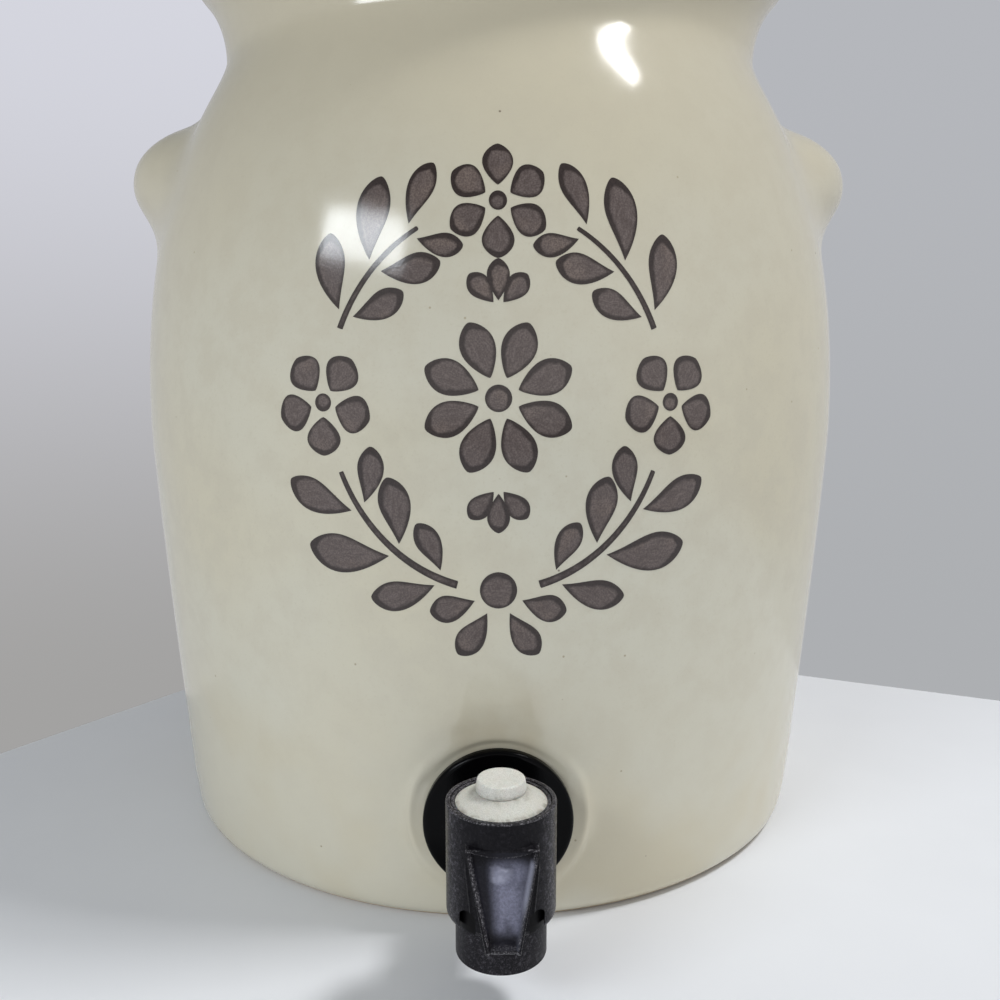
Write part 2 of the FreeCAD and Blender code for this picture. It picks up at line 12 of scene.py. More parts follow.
import bmesh
import bpy
import numpy as np
from mathutils import Matrix, Vector
from mathutils.geometry import delaunay_2d_cdt


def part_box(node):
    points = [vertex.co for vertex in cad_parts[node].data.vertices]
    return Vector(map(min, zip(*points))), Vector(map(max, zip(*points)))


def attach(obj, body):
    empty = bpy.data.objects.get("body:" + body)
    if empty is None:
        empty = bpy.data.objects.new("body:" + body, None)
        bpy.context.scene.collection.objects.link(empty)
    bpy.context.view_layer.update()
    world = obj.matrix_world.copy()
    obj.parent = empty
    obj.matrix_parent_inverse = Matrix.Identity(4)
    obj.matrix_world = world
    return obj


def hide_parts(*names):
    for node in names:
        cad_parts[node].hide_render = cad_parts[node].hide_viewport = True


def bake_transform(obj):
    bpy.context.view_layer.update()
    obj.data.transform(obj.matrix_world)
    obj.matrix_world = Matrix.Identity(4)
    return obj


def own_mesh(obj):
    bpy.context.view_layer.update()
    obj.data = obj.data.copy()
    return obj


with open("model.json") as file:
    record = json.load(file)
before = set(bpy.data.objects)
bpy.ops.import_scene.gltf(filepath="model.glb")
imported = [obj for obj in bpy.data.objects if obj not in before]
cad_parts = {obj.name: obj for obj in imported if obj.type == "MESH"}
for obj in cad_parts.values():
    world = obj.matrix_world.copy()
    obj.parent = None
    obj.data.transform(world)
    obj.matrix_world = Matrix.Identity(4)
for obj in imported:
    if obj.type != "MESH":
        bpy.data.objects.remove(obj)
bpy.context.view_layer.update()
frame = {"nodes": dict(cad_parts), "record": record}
MM = 0.001


def box_mm(node):
    low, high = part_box(node)
    return np.array(low) / MM, np.array(high) / MM


# Sizes that follow the CAD model, the ears a little smaller
FOOT_R, FOOT_BEVEL, FOOT_SWELL = 110.7, 2.5, 2.9
BELLY_R, BELLY_Z, PULL_LOW, PULL_HIGH = 121.6, 137.3, 16.0, 87.0
RIM_Z = box_mm("crock_pot")[1][2]
NECK_R, NECK_Z, NECK_PULL, NECK_RISE = 91.2, RIM_Z - 40.6, 12.8, 8.4
RIM_R, RIM_LOW_Z, RIM_LEAN = NECK_R + 9.8, RIM_Z - 15.5, 7.5
MOUTH_R, LEDGE_Z, THROAT_R = RIM_R - 13.0, RIM_Z - 6.5, RIM_R - 20.4
WALL, FLOOR, FLOOR_ROUND = 9.0, 10.0, 8.0
EAR_ROOT_R, EAR_Z, EAR_DROOP = (BELLY_R + NECK_R) / 2 - 6.0, NECK_Z - 33.5, math.tan(math.radians(9))
EAR_REACH, EAR_HALF_WIDTH, EAR_HALF_HEIGHT = 26.4, 32.6, 16.5
PAD_PROUD = 2.8
PAD_FACE = FOOT_R + PAD_PROUD
FLANGE_R, FLANGE, GASKET, TAP_HOLE_R = 21.0, 2.7, 1.5, 10.5
TAP_Y = box_mm("push_button")[0][1] / 2 + box_mm("push_button")[1][1] / 2
TAP_Z = box_mm("tap_barrel")[0][2] + FLANGE_R
SHROUD_R, SHROUD_BORE_R, SHROUD_TOP, SHROUD_DROP = 13.6, 12.4, 21.8, 7.4
SHROUD_ROUND, SHROUD_LIP, NOZZLE_HOLE_R, SLOT_R = 1.4, 1.3, 11.45, 10.0
COIL_R, WIRE_R, COIL_TURNS = 3.6, 0.45, 6.5


# Small helpers


def lerp(a, b, t):
    return a + (b - a) * t


def smoothstep(low, high, x):
    t = np.clip((x - low) / (high - low), 0, 1)
    return t * t * (3 - 2 * t)


def hump(x, centre, spread):
    return np.exp(-(((x - centre) / spread) ** 2))


def unit(heading):
    return np.array((math.cos(heading), math.sin(heading)))


def turned_points(r, angle, z):
    """Points at a radius, an angle from the front and a height."""
    return np.stack([r * np.sin(angle), -r * np.cos(angle), z + 0 * angle], axis=-1)


def around_front(angle):
    """An angle, or angles, turned into the range from minus pi to pi, with zero at the front."""
    return (angle + math.pi) % (2 * math.pi) - math.pi


def bezier(start, handle_a, handle_b, end, count):
    t = np.linspace(0, 1, count)[:, None]
    points = [np.array(p, float) for p in (start, handle_a, handle_b, end)]
    weights = ((1 - t) ** 3, 3 * t * (1 - t) ** 2, 3 * t * t * (1 - t), t**3)
    return sum(w * p for w, p in zip(weights, points))


def curve(start, *legs):
    """A smooth outline from a start: each leg gives its two handles, its end and a count of points."""
    points = [np.array([start], float)]
    for leg in legs:
        points.append(bezier(points[-1][-1], *leg)[1:])
    return np.vstack(points)


def circle(centre, radius, count):
    turns = np.linspace(0, 2 * math.pi, count, endpoint=False)
    return np.array(centre) + radius * np.stack([np.cos(turns), np.sin(turns)], axis=1)


def rounded(*corners, step=15, support=0.12):
    """An outline from (r, z, rounding) corners, each rounding an arc between two support points."""
    points = []
    for i, (r, z, rounding) in enumerate(corners):
        corner = np.array((r, z), float)
        if not rounding or i in (0, len(corners) - 1):
            points.append(corner)
            continue
        before = np.array(corners[i - 1][:2], float) - corner
        after = np.array(corners[i + 1][:2], float) - corner
        before, after = before / np.linalg.norm(before), after / np.linalg.norm(after)
        half = math.acos(np.clip(before @ after, -1, 1)) / 2
        reach = rounding / math.tan(half)
        centre = corner + (before + after) / np.linalg.norm(before + after) * rounding / math.sin(half)
        first, last = corner + before * reach - centre, corner + after * reach - centre
        turn = math.atan2(first[0] * last[1] - first[1] * last[0], first @ last)
        points.append(corner + before * (reach + support))
        for t in np.linspace(0, turn, max(2, round(abs(math.degrees(turn)) / step)) + 1):
            c, s = math.cos(t), math.sin(t)
            points.append(centre + (c * first[0] - s * first[1], s * first[0] + c * first[1]))
        points.append(corner + after * (reach + support))
    return np.array(points)


# Meshes


def link(name, data, material=None):
    """Put a mesh, a lamp or a camera in the scene."""
    item = bpy.data.objects.new(name, data)
    bpy.context.scene.collection.objects.link(item)
    if material:
        data.materials.append(material)
    return item


def shade(mesh, sharp=40):
    """Shade smooth but for edges sharper than an angle in degrees."""
    mesh.shade_smooth()
    mesh.set_sharp_from_angle(angle=math.radians(sharp))


def set_mark(mesh, name, values):
    """Keep a number per point as an attribute that materials read."""
    mark = mesh.attributes.new(name, "FLOAT", "POINT")
    mark.data.foreach_set("value", np.asarray(values, np.float32).ravel())


def new_mesh(name, points, faces, sharp=40, **marks):
    """A clean mesh from points in millimetres, its faces turned outwards, with a mark per point."""
    mesh = bpy.data.meshes.new(name)
    mesh.from_pydata((np.asarray(points, float).reshape(-1, 3) * MM).tolist(), [], faces)
    for key, values in marks.items():
        set_mark(mesh, key, values)
    work = bmesh.new()
    work.from_mesh(mesh)
    bmesh.ops.remove_doubles(work, verts=work.verts, dist=1e-7)
    bmesh.ops.dissolve_degenerate(work, edges=work.edges, dist=1e-8)
    bmesh.ops.recalc_face_normals(work, faces=work.faces)
    work.to_mesh(mesh)
    work.free()
    shade(mesh, sharp)
    return mesh


def grid_faces(rows, columns, close_rows=False):
    faces = []
    for i in range(rows if close_rows else rows - 1):
        for j in range(columns):
            k, after = (j + 1) % columns, (i + 1) % rows
            faces.append((i * columns + j, i * columns + k, after * columns + k, after * columns + j))
    return faces


def lathe(name, outline, segments=96, ring=False, sharp=40):
    """A turned piece about Z. A ring's outline closes on itself, any other ends on the axis."""
    angles = np.arange(segments) * 2 * math.pi / segments
    points = turned_points(outline[:, :1], angles, outline[:, 1:])
    return new_mesh(name, points, grid_faces(len(outline), segments, ring), sharp)


def put_on_tap(mesh):
    mesh.transform(Matrix.Translation((0, TAP_Y * MM, TAP_Z * MM)))
    return mesh


def cut(piece, *cutters):
    """Cut solid meshes out of a piece."""
    tools = [link("cutter", mesh) for mesh in cutters]
    for tool in tools:
        modifier = piece.modifiers.new("cut", "BOOLEAN")
        modifier.operation, modifier.solver, modifier.object = "DIFFERENCE", "EXACT", tool
    graph = bpy.context.evaluated_depsgraph_get()
    final = bpy.data.meshes.new_from_object(piece.evaluated_get(graph))
    piece.modifiers.clear()
    piece.data = final
    for tool in tools:
        bpy.data.objects.remove(tool)
    shade(final)


def prism(outline, y_from, y_to):
    """A straight solid along Y with an (x, z) outline."""
    count = len(outline)
    points = [(x, y, z) for y in (y_from, y_to) for x, z in outline]
    sides = [(i, (i + 1) % count, count + (i + 1) % count, count + i) for i in range(count)]
    return new_mesh("prism", points, sides + [tuple(range(count)), tuple(range(count, 2 * count))])


def arch(half_width, crown_z, low_z, centre_x=0.0):
    """An arched outline: a half circle of the given half width on straight legs."""
    top = [(centre_x + half_width * math.cos(t), crown_z + half_width * math.sin(t))
           for t in np.linspace(0, math.pi, 24)]
    return top + [(centre_x - half_width, low_z), (centre_x + half_width, low_z)]


# The crock

WALL_CURVE = curve(
    (FOOT_R, FOOT_BEVEL),
    ((FOOT_R + FOOT_SWELL, FOOT_BEVEL), (BELLY_R, BELLY_Z - PULL_LOW), (BELLY_R, BELLY_Z), 120),
    ((BELLY_R, BELLY_Z + PULL_HIGH), (NECK_R, NECK_Z - NECK_PULL), (NECK_R, NECK_Z), 120),
    ((NECK_R, NECK_Z + NECK_RISE), (RIM_R - RIM_LEAN, RIM_LOW_Z - RIM_LEAN), (RIM_R, RIM_LOW_Z), 60))
SWAY_LONG, SWAY_SHORT = 0.16, 0.10
EAR_BLEND_TOP, EAR_BLEND_LOW = 6.7, 24.8

# The tap's pad: radii from the tap's axis, and spans of height above it
PAD_FLAT, PAD_EDGE, PAD_TOP_EDGE, PAD_FAR_EDGE, PAD_FAR_SHARE = 21.2, 29.0, 23.6, 34.0, 0.6
RIDGE, RIDGE_TOP, RIDGE_RHO, RIDGE_SPREAD = 0.8, 0.15, 25.2, 1.6
RIDGE_GROWS, RIDGE_SINKS = (-25, -8), (6, 22)
GROOVE, GROOVE_LOW_HALF, GROOVE_HIGH_HALF = 0.4, 13.0, 6.5
GROOVE_STARTS, GROOVE_NARROWS, GROOVE_ENDS = (14, 26), (16, 38), (46, 28)


def wall_r(z):
    return np.interp(z, WALL_CURVE[:, 1], WALL_CURVE[:, 0])


def add_pad(r, angle, z):
    """Flatten the wall to the tap's round pad: a soft ridge at its sides, a fading groove above it."""
    x = PAD_FACE * np.tan(np.clip(angle, -1, 1))
    up = z - TAP_Z
    rho = np.hypot(x, up)
    above = smoothstep(0, 14, up)
    flat = 1 - smoothstep(PAD_FLAT, lerp(PAD_EDGE, PAD_TOP_EDGE, above), rho)
    flat = lerp(flat, 1 - smoothstep(PAD_FLAT, PAD_FAR_EDGE, rho), PAD_FAR_SHARE * above)
    crest = lerp(RIDGE, RIDGE_TOP, smoothstep(*RIDGE_SINKS, up)) * smoothstep(*RIDGE_GROWS, up)
    ridge = crest * hump(rho, RIDGE_RHO, RIDGE_SPREAD)
    half = lerp(GROOVE_LOW_HALF, GROOVE_HIGH_HALF, smoothstep(*GROOVE_NARROWS, up))
    groove = GROOVE * np.exp(-((x / half) ** 4))
    groove = groove * smoothstep(*GROOVE_STARTS, up) * smoothstep(*GROOVE_ENDS, up)
    pad = PAD_FACE / np.clip(np.cos(angle), 0.5, 1)
    return np.where(np.abs(angle) < 0.6, lerp(r, pad, flat) + ridge - groove, r)


def ear_distance(x, y, z):
    """Roughly how far a point lies outside the nearer ear's drooping ellipsoid."""
    out = np.abs(x) - EAR_ROOT_R
    reach = np.stack([out, y, z - EAR_Z + EAR_DROOP * out], axis=-1)
    size = np.array([EAR_REACH, EAR_HALF_WIDTH, EAR_HALF_HEIGHT])
    near = np.linalg.norm(reach / size, axis=-1)
    return near * (near - 1) / np.maximum(np.linalg.norm(reach / size**2, axis=-1), 1e-6)


def add_ears(r, angle, z):
    """The wall's radius with the lug ears melted into it."""
    blend = lerp(EAR_BLEND_LOW, EAR_BLEND_TOP, smoothstep(EAR_Z - 12, EAR_Z + 14, z))

    def outside(radius):
        wall = radius - r
        ear = ear_distance(radius * np.sin(angle), radius * np.cos(angle), z)
        overlap = np.maximum(blend - np.abs(wall - ear), 0) / blend
        return np.minimum(wall, ear) - overlap * overlap * blend / 4 > 0

    out = np.full_like(r, EAR_ROOT_R + EAR_REACH + 1)
    while np.any(free := outside(out) & (out > r)):
        out = np.where(free, out - 1.0, out)
    low, high = out, out + 1.0
    for _ in range(14):
        middle = (low + high) / 2
        free = outside(middle)
        low, high = np.where(free, low, middle), np.where(free, middle, high)
    return np.maximum(r, low)


def crock_r(angle, z):
    """The outside radius of the crock at an angle from the front and a height."""
    angle, z = np.broadcast_arrays(np.asarray(angle, float), np.asarray(z, float))
    angle = around_front(angle)
    wave = SWAY_LONG * np.sin(2 * angle + 0.7 + z / 90) + SWAY_SHORT * np.sin(3 * angle + z / 47)
    sway = SWAY_LONG + SWAY_SHORT - wave
    r = wall_r(z) - sway * smoothstep(6, 40, z) * smoothstep(RIM_LOW_Z, NECK_Z - 20, z)
    return add_ears(add_pad(r, angle, z), angle, z)


def stations(*spans):
    """Values from spans of (from, to, step), each span without its end."""
    return np.concatenate([np.linspace(a, b, round((b - a) / step), endpoint=False)
                           for a, b, step in spans])


def build_crock(glaze):
    """The pot, its mesh finer round the tap's pad and the ears."""
    angles = np.radians(stations((-13, 13, 0.3), (13, 60, 1.6), (60, 120, 1.0),
                                 (120, 240, 2.2), (240, 300, 1.0), (300, 347, 1.6)))
    foot = rounded((0, 0, 0), (FOOT_R - FOOT_BEVEL, 0, 1.6), (FOOT_R, FOOT_BEVEL, 0))[:-1]
    wall_z = stations((FOOT_BEVEL, 28, 1.5), (28, 62, 0.6), (62, 170, 3.2), (170, 262, 1.5),
                      (262, RIM_LOW_Z - 1.2, 1.4))
    rim = rounded((RIM_R - RIM_LEAN, RIM_LOW_Z - RIM_LEAN, 0),
                  (RIM_R, RIM_LOW_Z, 3.0), (RIM_R, RIM_Z, 6.0), (MOUTH_R, RIM_Z, 1.2),
                  (MOUTH_R, LEDGE_Z, 0.6), (THROAT_R, LEDGE_Z, 1.0), (NECK_R - WALL, NECK_Z, 0))[1:-1]
    inner_low_r = FOOT_R + FOOT_SWELL + PAD_PROUD / 4 - WALL
    corner = FLOOR + FLOOR_ROUND
    inner_neck_r, inner_belly_r = NECK_R - WALL, BELLY_R - WALL
    inside = curve(
        (inner_neck_r, NECK_Z),
        ((inner_neck_r, NECK_Z - NECK_PULL), (inner_belly_r, BELLY_Z + PULL_HIGH),
         (inner_belly_r, BELLY_Z), 26),
        ((inner_belly_r, BELLY_Z - PULL_LOW), (inner_low_r, corner + 0.2 * (BELLY_Z - corner)),
         (inner_low_r, corner), 20),
        ((inner_low_r, FLOOR + 0.55 * FLOOR_ROUND), (inner_low_r - 0.45 * FLOOR_ROUND, FLOOR),
         (inner_low_r - FLOOR_ROUND, FLOOR), 8))
    floor = [(60, FLOOR), (0, FLOOR)]
    section = np.vstack([foot, np.stack([wall_r(wall_z), wall_z], axis=1), rim, inside, floor])
    r = section[:, :1] + 0 * angles
    outer = slice(len(foot), len(foot) + len(wall_z))
    r[outer] = crock_r(angles[None, :], wall_z[:, None])
    points = turned_points(r, angles, section[:, 1:])
    mesh = new_mesh("crock", points, grid_faces(*r.shape), sharp=60)
    crock = link("glazed_crock", mesh, glaze)
    cut(crock, prism(circle((0, TAP_Z), TAP_HOLE_R, 64), -PAD_FACE - 5, 12 - PAD_FACE))
    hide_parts("crock_pot")
    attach(crock, "crock")


# The lid


def build_lid(glaze):
    plug_r, edge_r, plug_width = THROAT_R - 1.0, MOUTH_R - 1.0, 7.0
    edge, dome, neck_r, knob_r = 6.5, 14.5, 11.0, 17.5
    head, knob = dome + 6.0, 14.0
    low = rounded((0, 0, 0), (plug_r - plug_width, 0, 1.0), (plug_r - plug_width, -6, 1.2),
                  (plug_r, -6, 1.2), (plug_r, 0, 0.8), (edge_r, 0, 1.2), (edge_r, edge, 2.4),
                  (0.7 * edge_r, dome - 2.6, 0))[:-1]
    top = curve(
        (edge_r - 3, edge + 0.55),
        ((0.7 * edge_r, dome - 2), (0.35 * edge_r, dome), (neck_r + 3, dome), 40),
        ((neck_r + 0.6, dome), (neck_r, dome + 1), (neck_r, head - 3), 8),
        ((neck_r, head - 0.5), (knob_r, head - 0.5), (knob_r, head + 0.5 * knob), 14),
        ((knob_r, head + 0.85 * knob), (0.6 * knob_r, head + knob), (0, head + knob), 18))
    mesh = lathe("lid", np.vstack([low, top]), 144, sharp=50)
    mesh.transform(Matrix.Translation((0, 0, LEDGE_Z * MM)))
    lid = link("glazed_lid", mesh, glaze)
    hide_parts("pot_lid")
    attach(lid, "lid")


# The tap: heights are counted from its shank's axis, and the hook and notches are set a little
# nearer to the real tap's than the CAD model's are

HOOK_TOP, HOOK_TOP_HALF, HOOK_TIP_HALF, HOOK_TIP_REACH = 15.6, 8.7, 3.9, 20.5
HOOK_ANGLE, NOTCH_R, NOTCH_SPREAD, NOTCH_CROWN = math.radians(48), 1.9, 8.3, 3.2
RIM_BAND, RIM_WALL, RIM_TOP_REACH, HOOK_TOP_DIP = 0.75, 0.8, 13.85, 2.0
FACE_TOP_REACH, FACE_TIP_REACH, FACE_HOLLOW, FACE_SAG = 12.3, 18.9, 0.9, 0.35
LIP, LIP_RIDGE, LIP_PITCH = 2.6, 0.22, 0.9
RIB, RIB_LOW_ANGLE, RIB_HIGH_ANGLE, RIB_SPREAD = 0.3, 32.0, 40.0, 1.3


def hook_front(x, z):
    """How far the hook's front stands from the tap's axis: a scooped face between two raised rims."""
    dip = HOOK_TOP_DIP * np.clip(1 - (x / HOOK_TOP_HALF) ** 2, 0, 1)
    t = np.clip((HOOK_TOP - z) / (HOOK_TOP + SHROUD_DROP), 0, 1)
    half = lerp(HOOK_TOP_HALF, HOOK_TIP_HALF, t)
    rim = lerp(RIM_TOP_REACH, HOOK_TIP_REACH, t)
    chord = lerp(FACE_TOP_REACH, FACE_TIP_REACH, t) - FACE_SAG * np.sin(math.pi * t)
    face = chord - FACE_HOLLOW * (1 - (x / half) ** 2) * smoothstep(0, 0.3, t)
    wall = smoothstep(half - RIM_BAND - RIM_WALL, half - RIM_BAND, np.abs(x))
    lip = smoothstep(LIP - SHROUD_DROP, LIP - SHROUD_DROP - 0.5, z)
    ridges = LIP_RIDGE * np.sin((z + SHROUD_DROP) * 2 * math.pi / LIP_PITCH) * lip
    step = smoothstep(HOOK_TOP - dip, HOOK_TOP - dip - 0.5, z)
    face = lerp(SHROUD_R, face, step)
    return lerp(lerp(face, rim, wall), rim - 0.3, lip * (1 - wall)) + ridges * (1 - wall), half, wall


def shroud_r(angle, z):
    """The shroud's outside radius: a sleeve with the finger hook on its front."""
    c, s = np.cos(angle), np.abs(np.sin(angle))
    ahead = np.abs(angle) < HOOK_ANGLE
    c = np.where(ahead, c, 1)
    r = np.full_like(c, SHROUD_R)
    for _ in range(40):  # where the front stands depends on x, which depends on r
        front, half, wall = hook_front(r * s, z)
        r = lerp(r, front / c, 0.7)
    hook = np.minimum(r, half / np.maximum(s, 1e-3))
    scooped = (wall < 0.5) & (r * s < half)
    below = smoothstep(HOOK_TOP + 0.05, HOOK_TOP - 0.25, z)
    full = np.where(scooped, r, np.maximum(SHROUD_R, hook))
    rib_angle = lerp(RIB_LOW_ANGLE, RIB_HIGH_ANGLE, np.clip((z + 3) / 15, 0, 1))
    rib = RIB * hump(np.degrees(np.abs(angle)), rib_angle, RIB_SPREAD)
    rib = rib * smoothstep(12, 8, z) * smoothstep(-3.2, -1, z)
    return np.where(ahead, lerp(SHROUD_R, full, below), SHROUD_R) + rib


def blurred(grid, passes):
    """A grid of rows round the tap, smoothed a little with each pass."""
    for _ in range(passes):
        grid = (np.roll(grid, 1, 1) + 2 * grid + np.roll(grid, -1, 1)) / 4
        grid[1:-1] = (grid[:-2] + 2 * grid[1:-1] + grid[2:]) / 4
    return grid


def build_shroud(plastic):
    """The sleeve with its hook. Marks say where it is worn or has a painted glint, where it is scooped,
    and where a painted highlight lies on the hook's right.
    """
    angles = np.radians(stations((-46, 46, 0.4), (46, 60, 1.0), (60, 300, 3.0), (300, 314, 1.0)))
    turned = around_front(angles)
    heights = stations((SHROUD_TOP - 0.45, HOOK_TOP + 0.6, -0.7), (HOOK_TOP + 0.6, HOOK_TOP - 2.8, -0.1),
                       (HOOK_TOP - 2.8, SHROUD_ROUND - SHROUD_DROP, -0.2))
    level = heights[:, None]
    outer = blurred(shroud_r(turned[None, :], level), 1)
    lap = 0 * angles
    # Each row's last value marks pale specks: wear, and a painted glint along the top edges.
    rows = [(r + lap, SHROUD_TOP + rise, worn) for r, rise, worn in (
        (SHROUD_BORE_R, -0.3, 0.3), (SHROUD_BORE_R + 0.1, -0.08, 0.8), (SHROUD_BORE_R + 0.3, 0, 0.8),
        (SHROUD_R - 0.6, 0, 0.1), (SHROUD_R - 0.4, 0, 0.9), (SHROUD_R - 0.15, -0.08, 1),
        (SHROUD_R - 0.03, -0.25, 0.9), (SHROUD_R, -0.4, 0.1))]
    hook = slice(len(rows), len(rows) + len(heights))
    rows += [(row, height, 0) for row, height in zip(outer, heights)]
    for turn in np.radians((0, 18, 36, 54, 72, 90)):
        rows.append((outer[-1] - SHROUD_ROUND * (1 - math.cos(turn)),
                     (1 - math.sin(turn)) * SHROUD_ROUND - SHROUD_DROP, 0.35))
    rows += [(r + lap, rise - SHROUD_DROP, 0) for r, rise in (
        (NOZZLE_HOLE_R + 0.1, 0), (NOZZLE_HOLE_R, 0.1), (NOZZLE_HOLE_R, SHROUD_LIP),
        (SHROUD_BORE_R, SHROUD_LIP), (SHROUD_BORE_R, SHROUD_DROP))]
    r = np.array([row[0] for row in rows])
    points = turned_points(r, angles, np.array([row[1] for row in rows])[:, None])

    x = np.abs(outer * np.sin(turned))
    ahead = np.abs(turned) < 0.8
    _, half, wall = hook_front(x, level)
    face = (1 - wall) * ahead * (level < HOOK_TOP - 0.6) * (x < half)
    # Where the painted highlight strip goes, on the hook's right inner wall.
    wall_highlight_mask = hump(x, half - RIM_BAND - 0.3, 0.35) * (turned > 0) * ahead
    wall_highlight_mask = wall_highlight_mask * smoothstep(HOOK_TOP - 2, HOOK_TOP - 4, level)
    # A painted glint along the face's top edge, just under the step.
    painted_brow_glint = hump(level, HOOK_TOP - HOOK_TOP_DIP * np.clip(1 - (x / HOOK_TOP_HALF) ** 2, 0, 1), 0.16)
    painted_brow_glint = painted_brow_glint * (x < half) * ahead
    # Pale specks along the rims' crests: wear, and painted glints.
    proud = np.clip((outer - blurred(outer, 3) - 0.07) / 0.10, 0, 1)
    lip = (level < LIP - SHROUD_DROP) & (x < half - RIM_BAND) & ahead
    proud = np.where(lip, 0.35 * proud, proud)
    scoop, bright = np.zeros_like(r), np.zeros_like(r)
    worn = np.array([row[2] for row in rows])[:, None] + lap
    scoop[hook], worn[hook], bright[hook] = face, np.maximum(proud, 0.8 * painted_brow_glint), wall_highlight_mask
    # Pale specks along the lower edge: wear, and a painted glint, strongest under the hook's tip.
    worn[hook.stop + 1:hook.stop + 4] = 0.35 + 0.65 * (x[-1] < HOOK_TIP_HALF) * ahead
    mesh = new_mesh("shroud", points, grid_faces(*r.shape, close_rows=True), sharp=50,
                    scoop=scoop, worn=worn, bright=bright)

    shroud = link("shroud_with_finger_hook", mesh, plastic)
    under = -SHROUD_DROP - 2
    notches = [prism(arch(NOTCH_R, -NOTCH_CROWN, under, side * NOTCH_SPREAD), -SHROUD_R - 2, -2)
               for side in (-1, 1)]
    slot = prism(arch(SLOT_R, 0, under), 2, SHROUD_R + 2)
    cut(shroud, *notches, slot)
    put_on_tap(shroud.data)
    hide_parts("tap_shroud")
    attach(shroud, "crock")


def build_diaphragm(rubber):
    """The flexible white cone, between the barrel, where it is clamped, and the button."""
    base, top, skin = 21.2, 24.0, 1.0
    r, clamp_r, clamp_low, clamp_high = 11.35, 12.25, 18.3, 19.3
    hole_r, under, inner_r = 2.25, top - skin, r - skin
    outline = np.vstack([
        rounded((inner_r, clamp_low, 0), (clamp_r, clamp_low, 0.15), (clamp_r, clamp_high, 0.15),
                (r, clamp_high, 0.1), (r, base, 0.35), (9.6, 22.1, 0))[:-1],
        bezier((10.6, 21.62), (9.2, 22.35), (8.0, 22.9), (7.0, 23.55), 14),
        bezier((6.9, 23.62), (6.5, 23.85), (6.3, 23.95), (5.6, top), 6),
        [(hole_r, top), (hole_r, under), (5.8, under)],
        bezier((6.2, under), (7.6, 22.0), (8.8, 21.3), (inner_r, base - skin), 10)])
    cone = link("flexible_cone", put_on_tap(lathe("cone", outline, 96, ring=True)), rubber)
    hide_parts("button_diaphragm")
    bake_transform(cone)


def build_button(plastic):
    """The white boss, its top very slightly sunk and a socket for the stem in its foot."""
    top, low, r, socket, socket_r = 27.2, 24.05, 6.25, 1.6, 2.25
    outline = np.vstack([
        rounded((0, low + socket, 0), (socket_r, low + socket, 0.1), (socket_r, low, 0.1),
                (r - 0.1, low, 0.15), (r, low + 0.6, 0.5), (r - 0.4, top, 0.55), (3, top, 0)),
        [(2, top - 0.03), (1, top - 0.07), (0, top - 0.08)]])
    button = link("button_cap", put_on_tap(lathe("button", outline, 72)), plastic)
    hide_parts("push_button")
    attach(button, "button")


def build_clamp_ring(plastic):
    """The black ring that holds the cone down, just inside the shroud's top edge, its top marked for
    pale specks of wear and a painted glint.
    """
    inner_r, outer_r, low, high = 11.42, 12.3, 19.4, 21.5
    outline = rounded((inner_r, 20.4, 0), (inner_r, high, 0.2), (outer_r, high, 0.25),
                      (outer_r, low, 0.1), (inner_r, low, 0.1), (inner_r, 20.3, 0))
    mesh = lathe("ring", outline, 96, ring=True)
    # Pale specks on the top: wear, and a painted glint.
    worn = [0.7 if vertex.co.z > (high - 0.3) * MM else 0.0 for vertex in mesh.vertices]
    set_mark(mesh, "worn", worn)
    ring = link("retaining_ring", put_on_tap(mesh), plastic)
    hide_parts("clamp_ring")
    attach(ring, "crock")


def build_spring(steel):
    """A coil with closed ends."""
    low, high = (value[2] for value in box_mm("return_spring"))
    around, steps = 10, int(COIL_TURNS * 36)
    out, up = circle((COIL_R, 0), WIRE_R, around).T
    t = np.linspace(0, 1, steps + 1)[:, None]
    rise = lerp(low + WIRE_R, high - WIRE_R, smoothstep(-0.05, 1.05, t) * 0.4 + t * 0.6)
    points = turned_points(out, 2 * math.pi * COIL_TURNS * t, rise + up) + (0, TAP_Y, 0)
    faces = grid_faces(steps + 1, around)
    faces += [tuple(range(around)), tuple(range(steps * around, (steps + 1) * around))]
    spring = link("coil_spring", new_mesh("spring", points, faces), steel)
    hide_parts("return_spring")
    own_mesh(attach(spring, "crock"))


# Shading


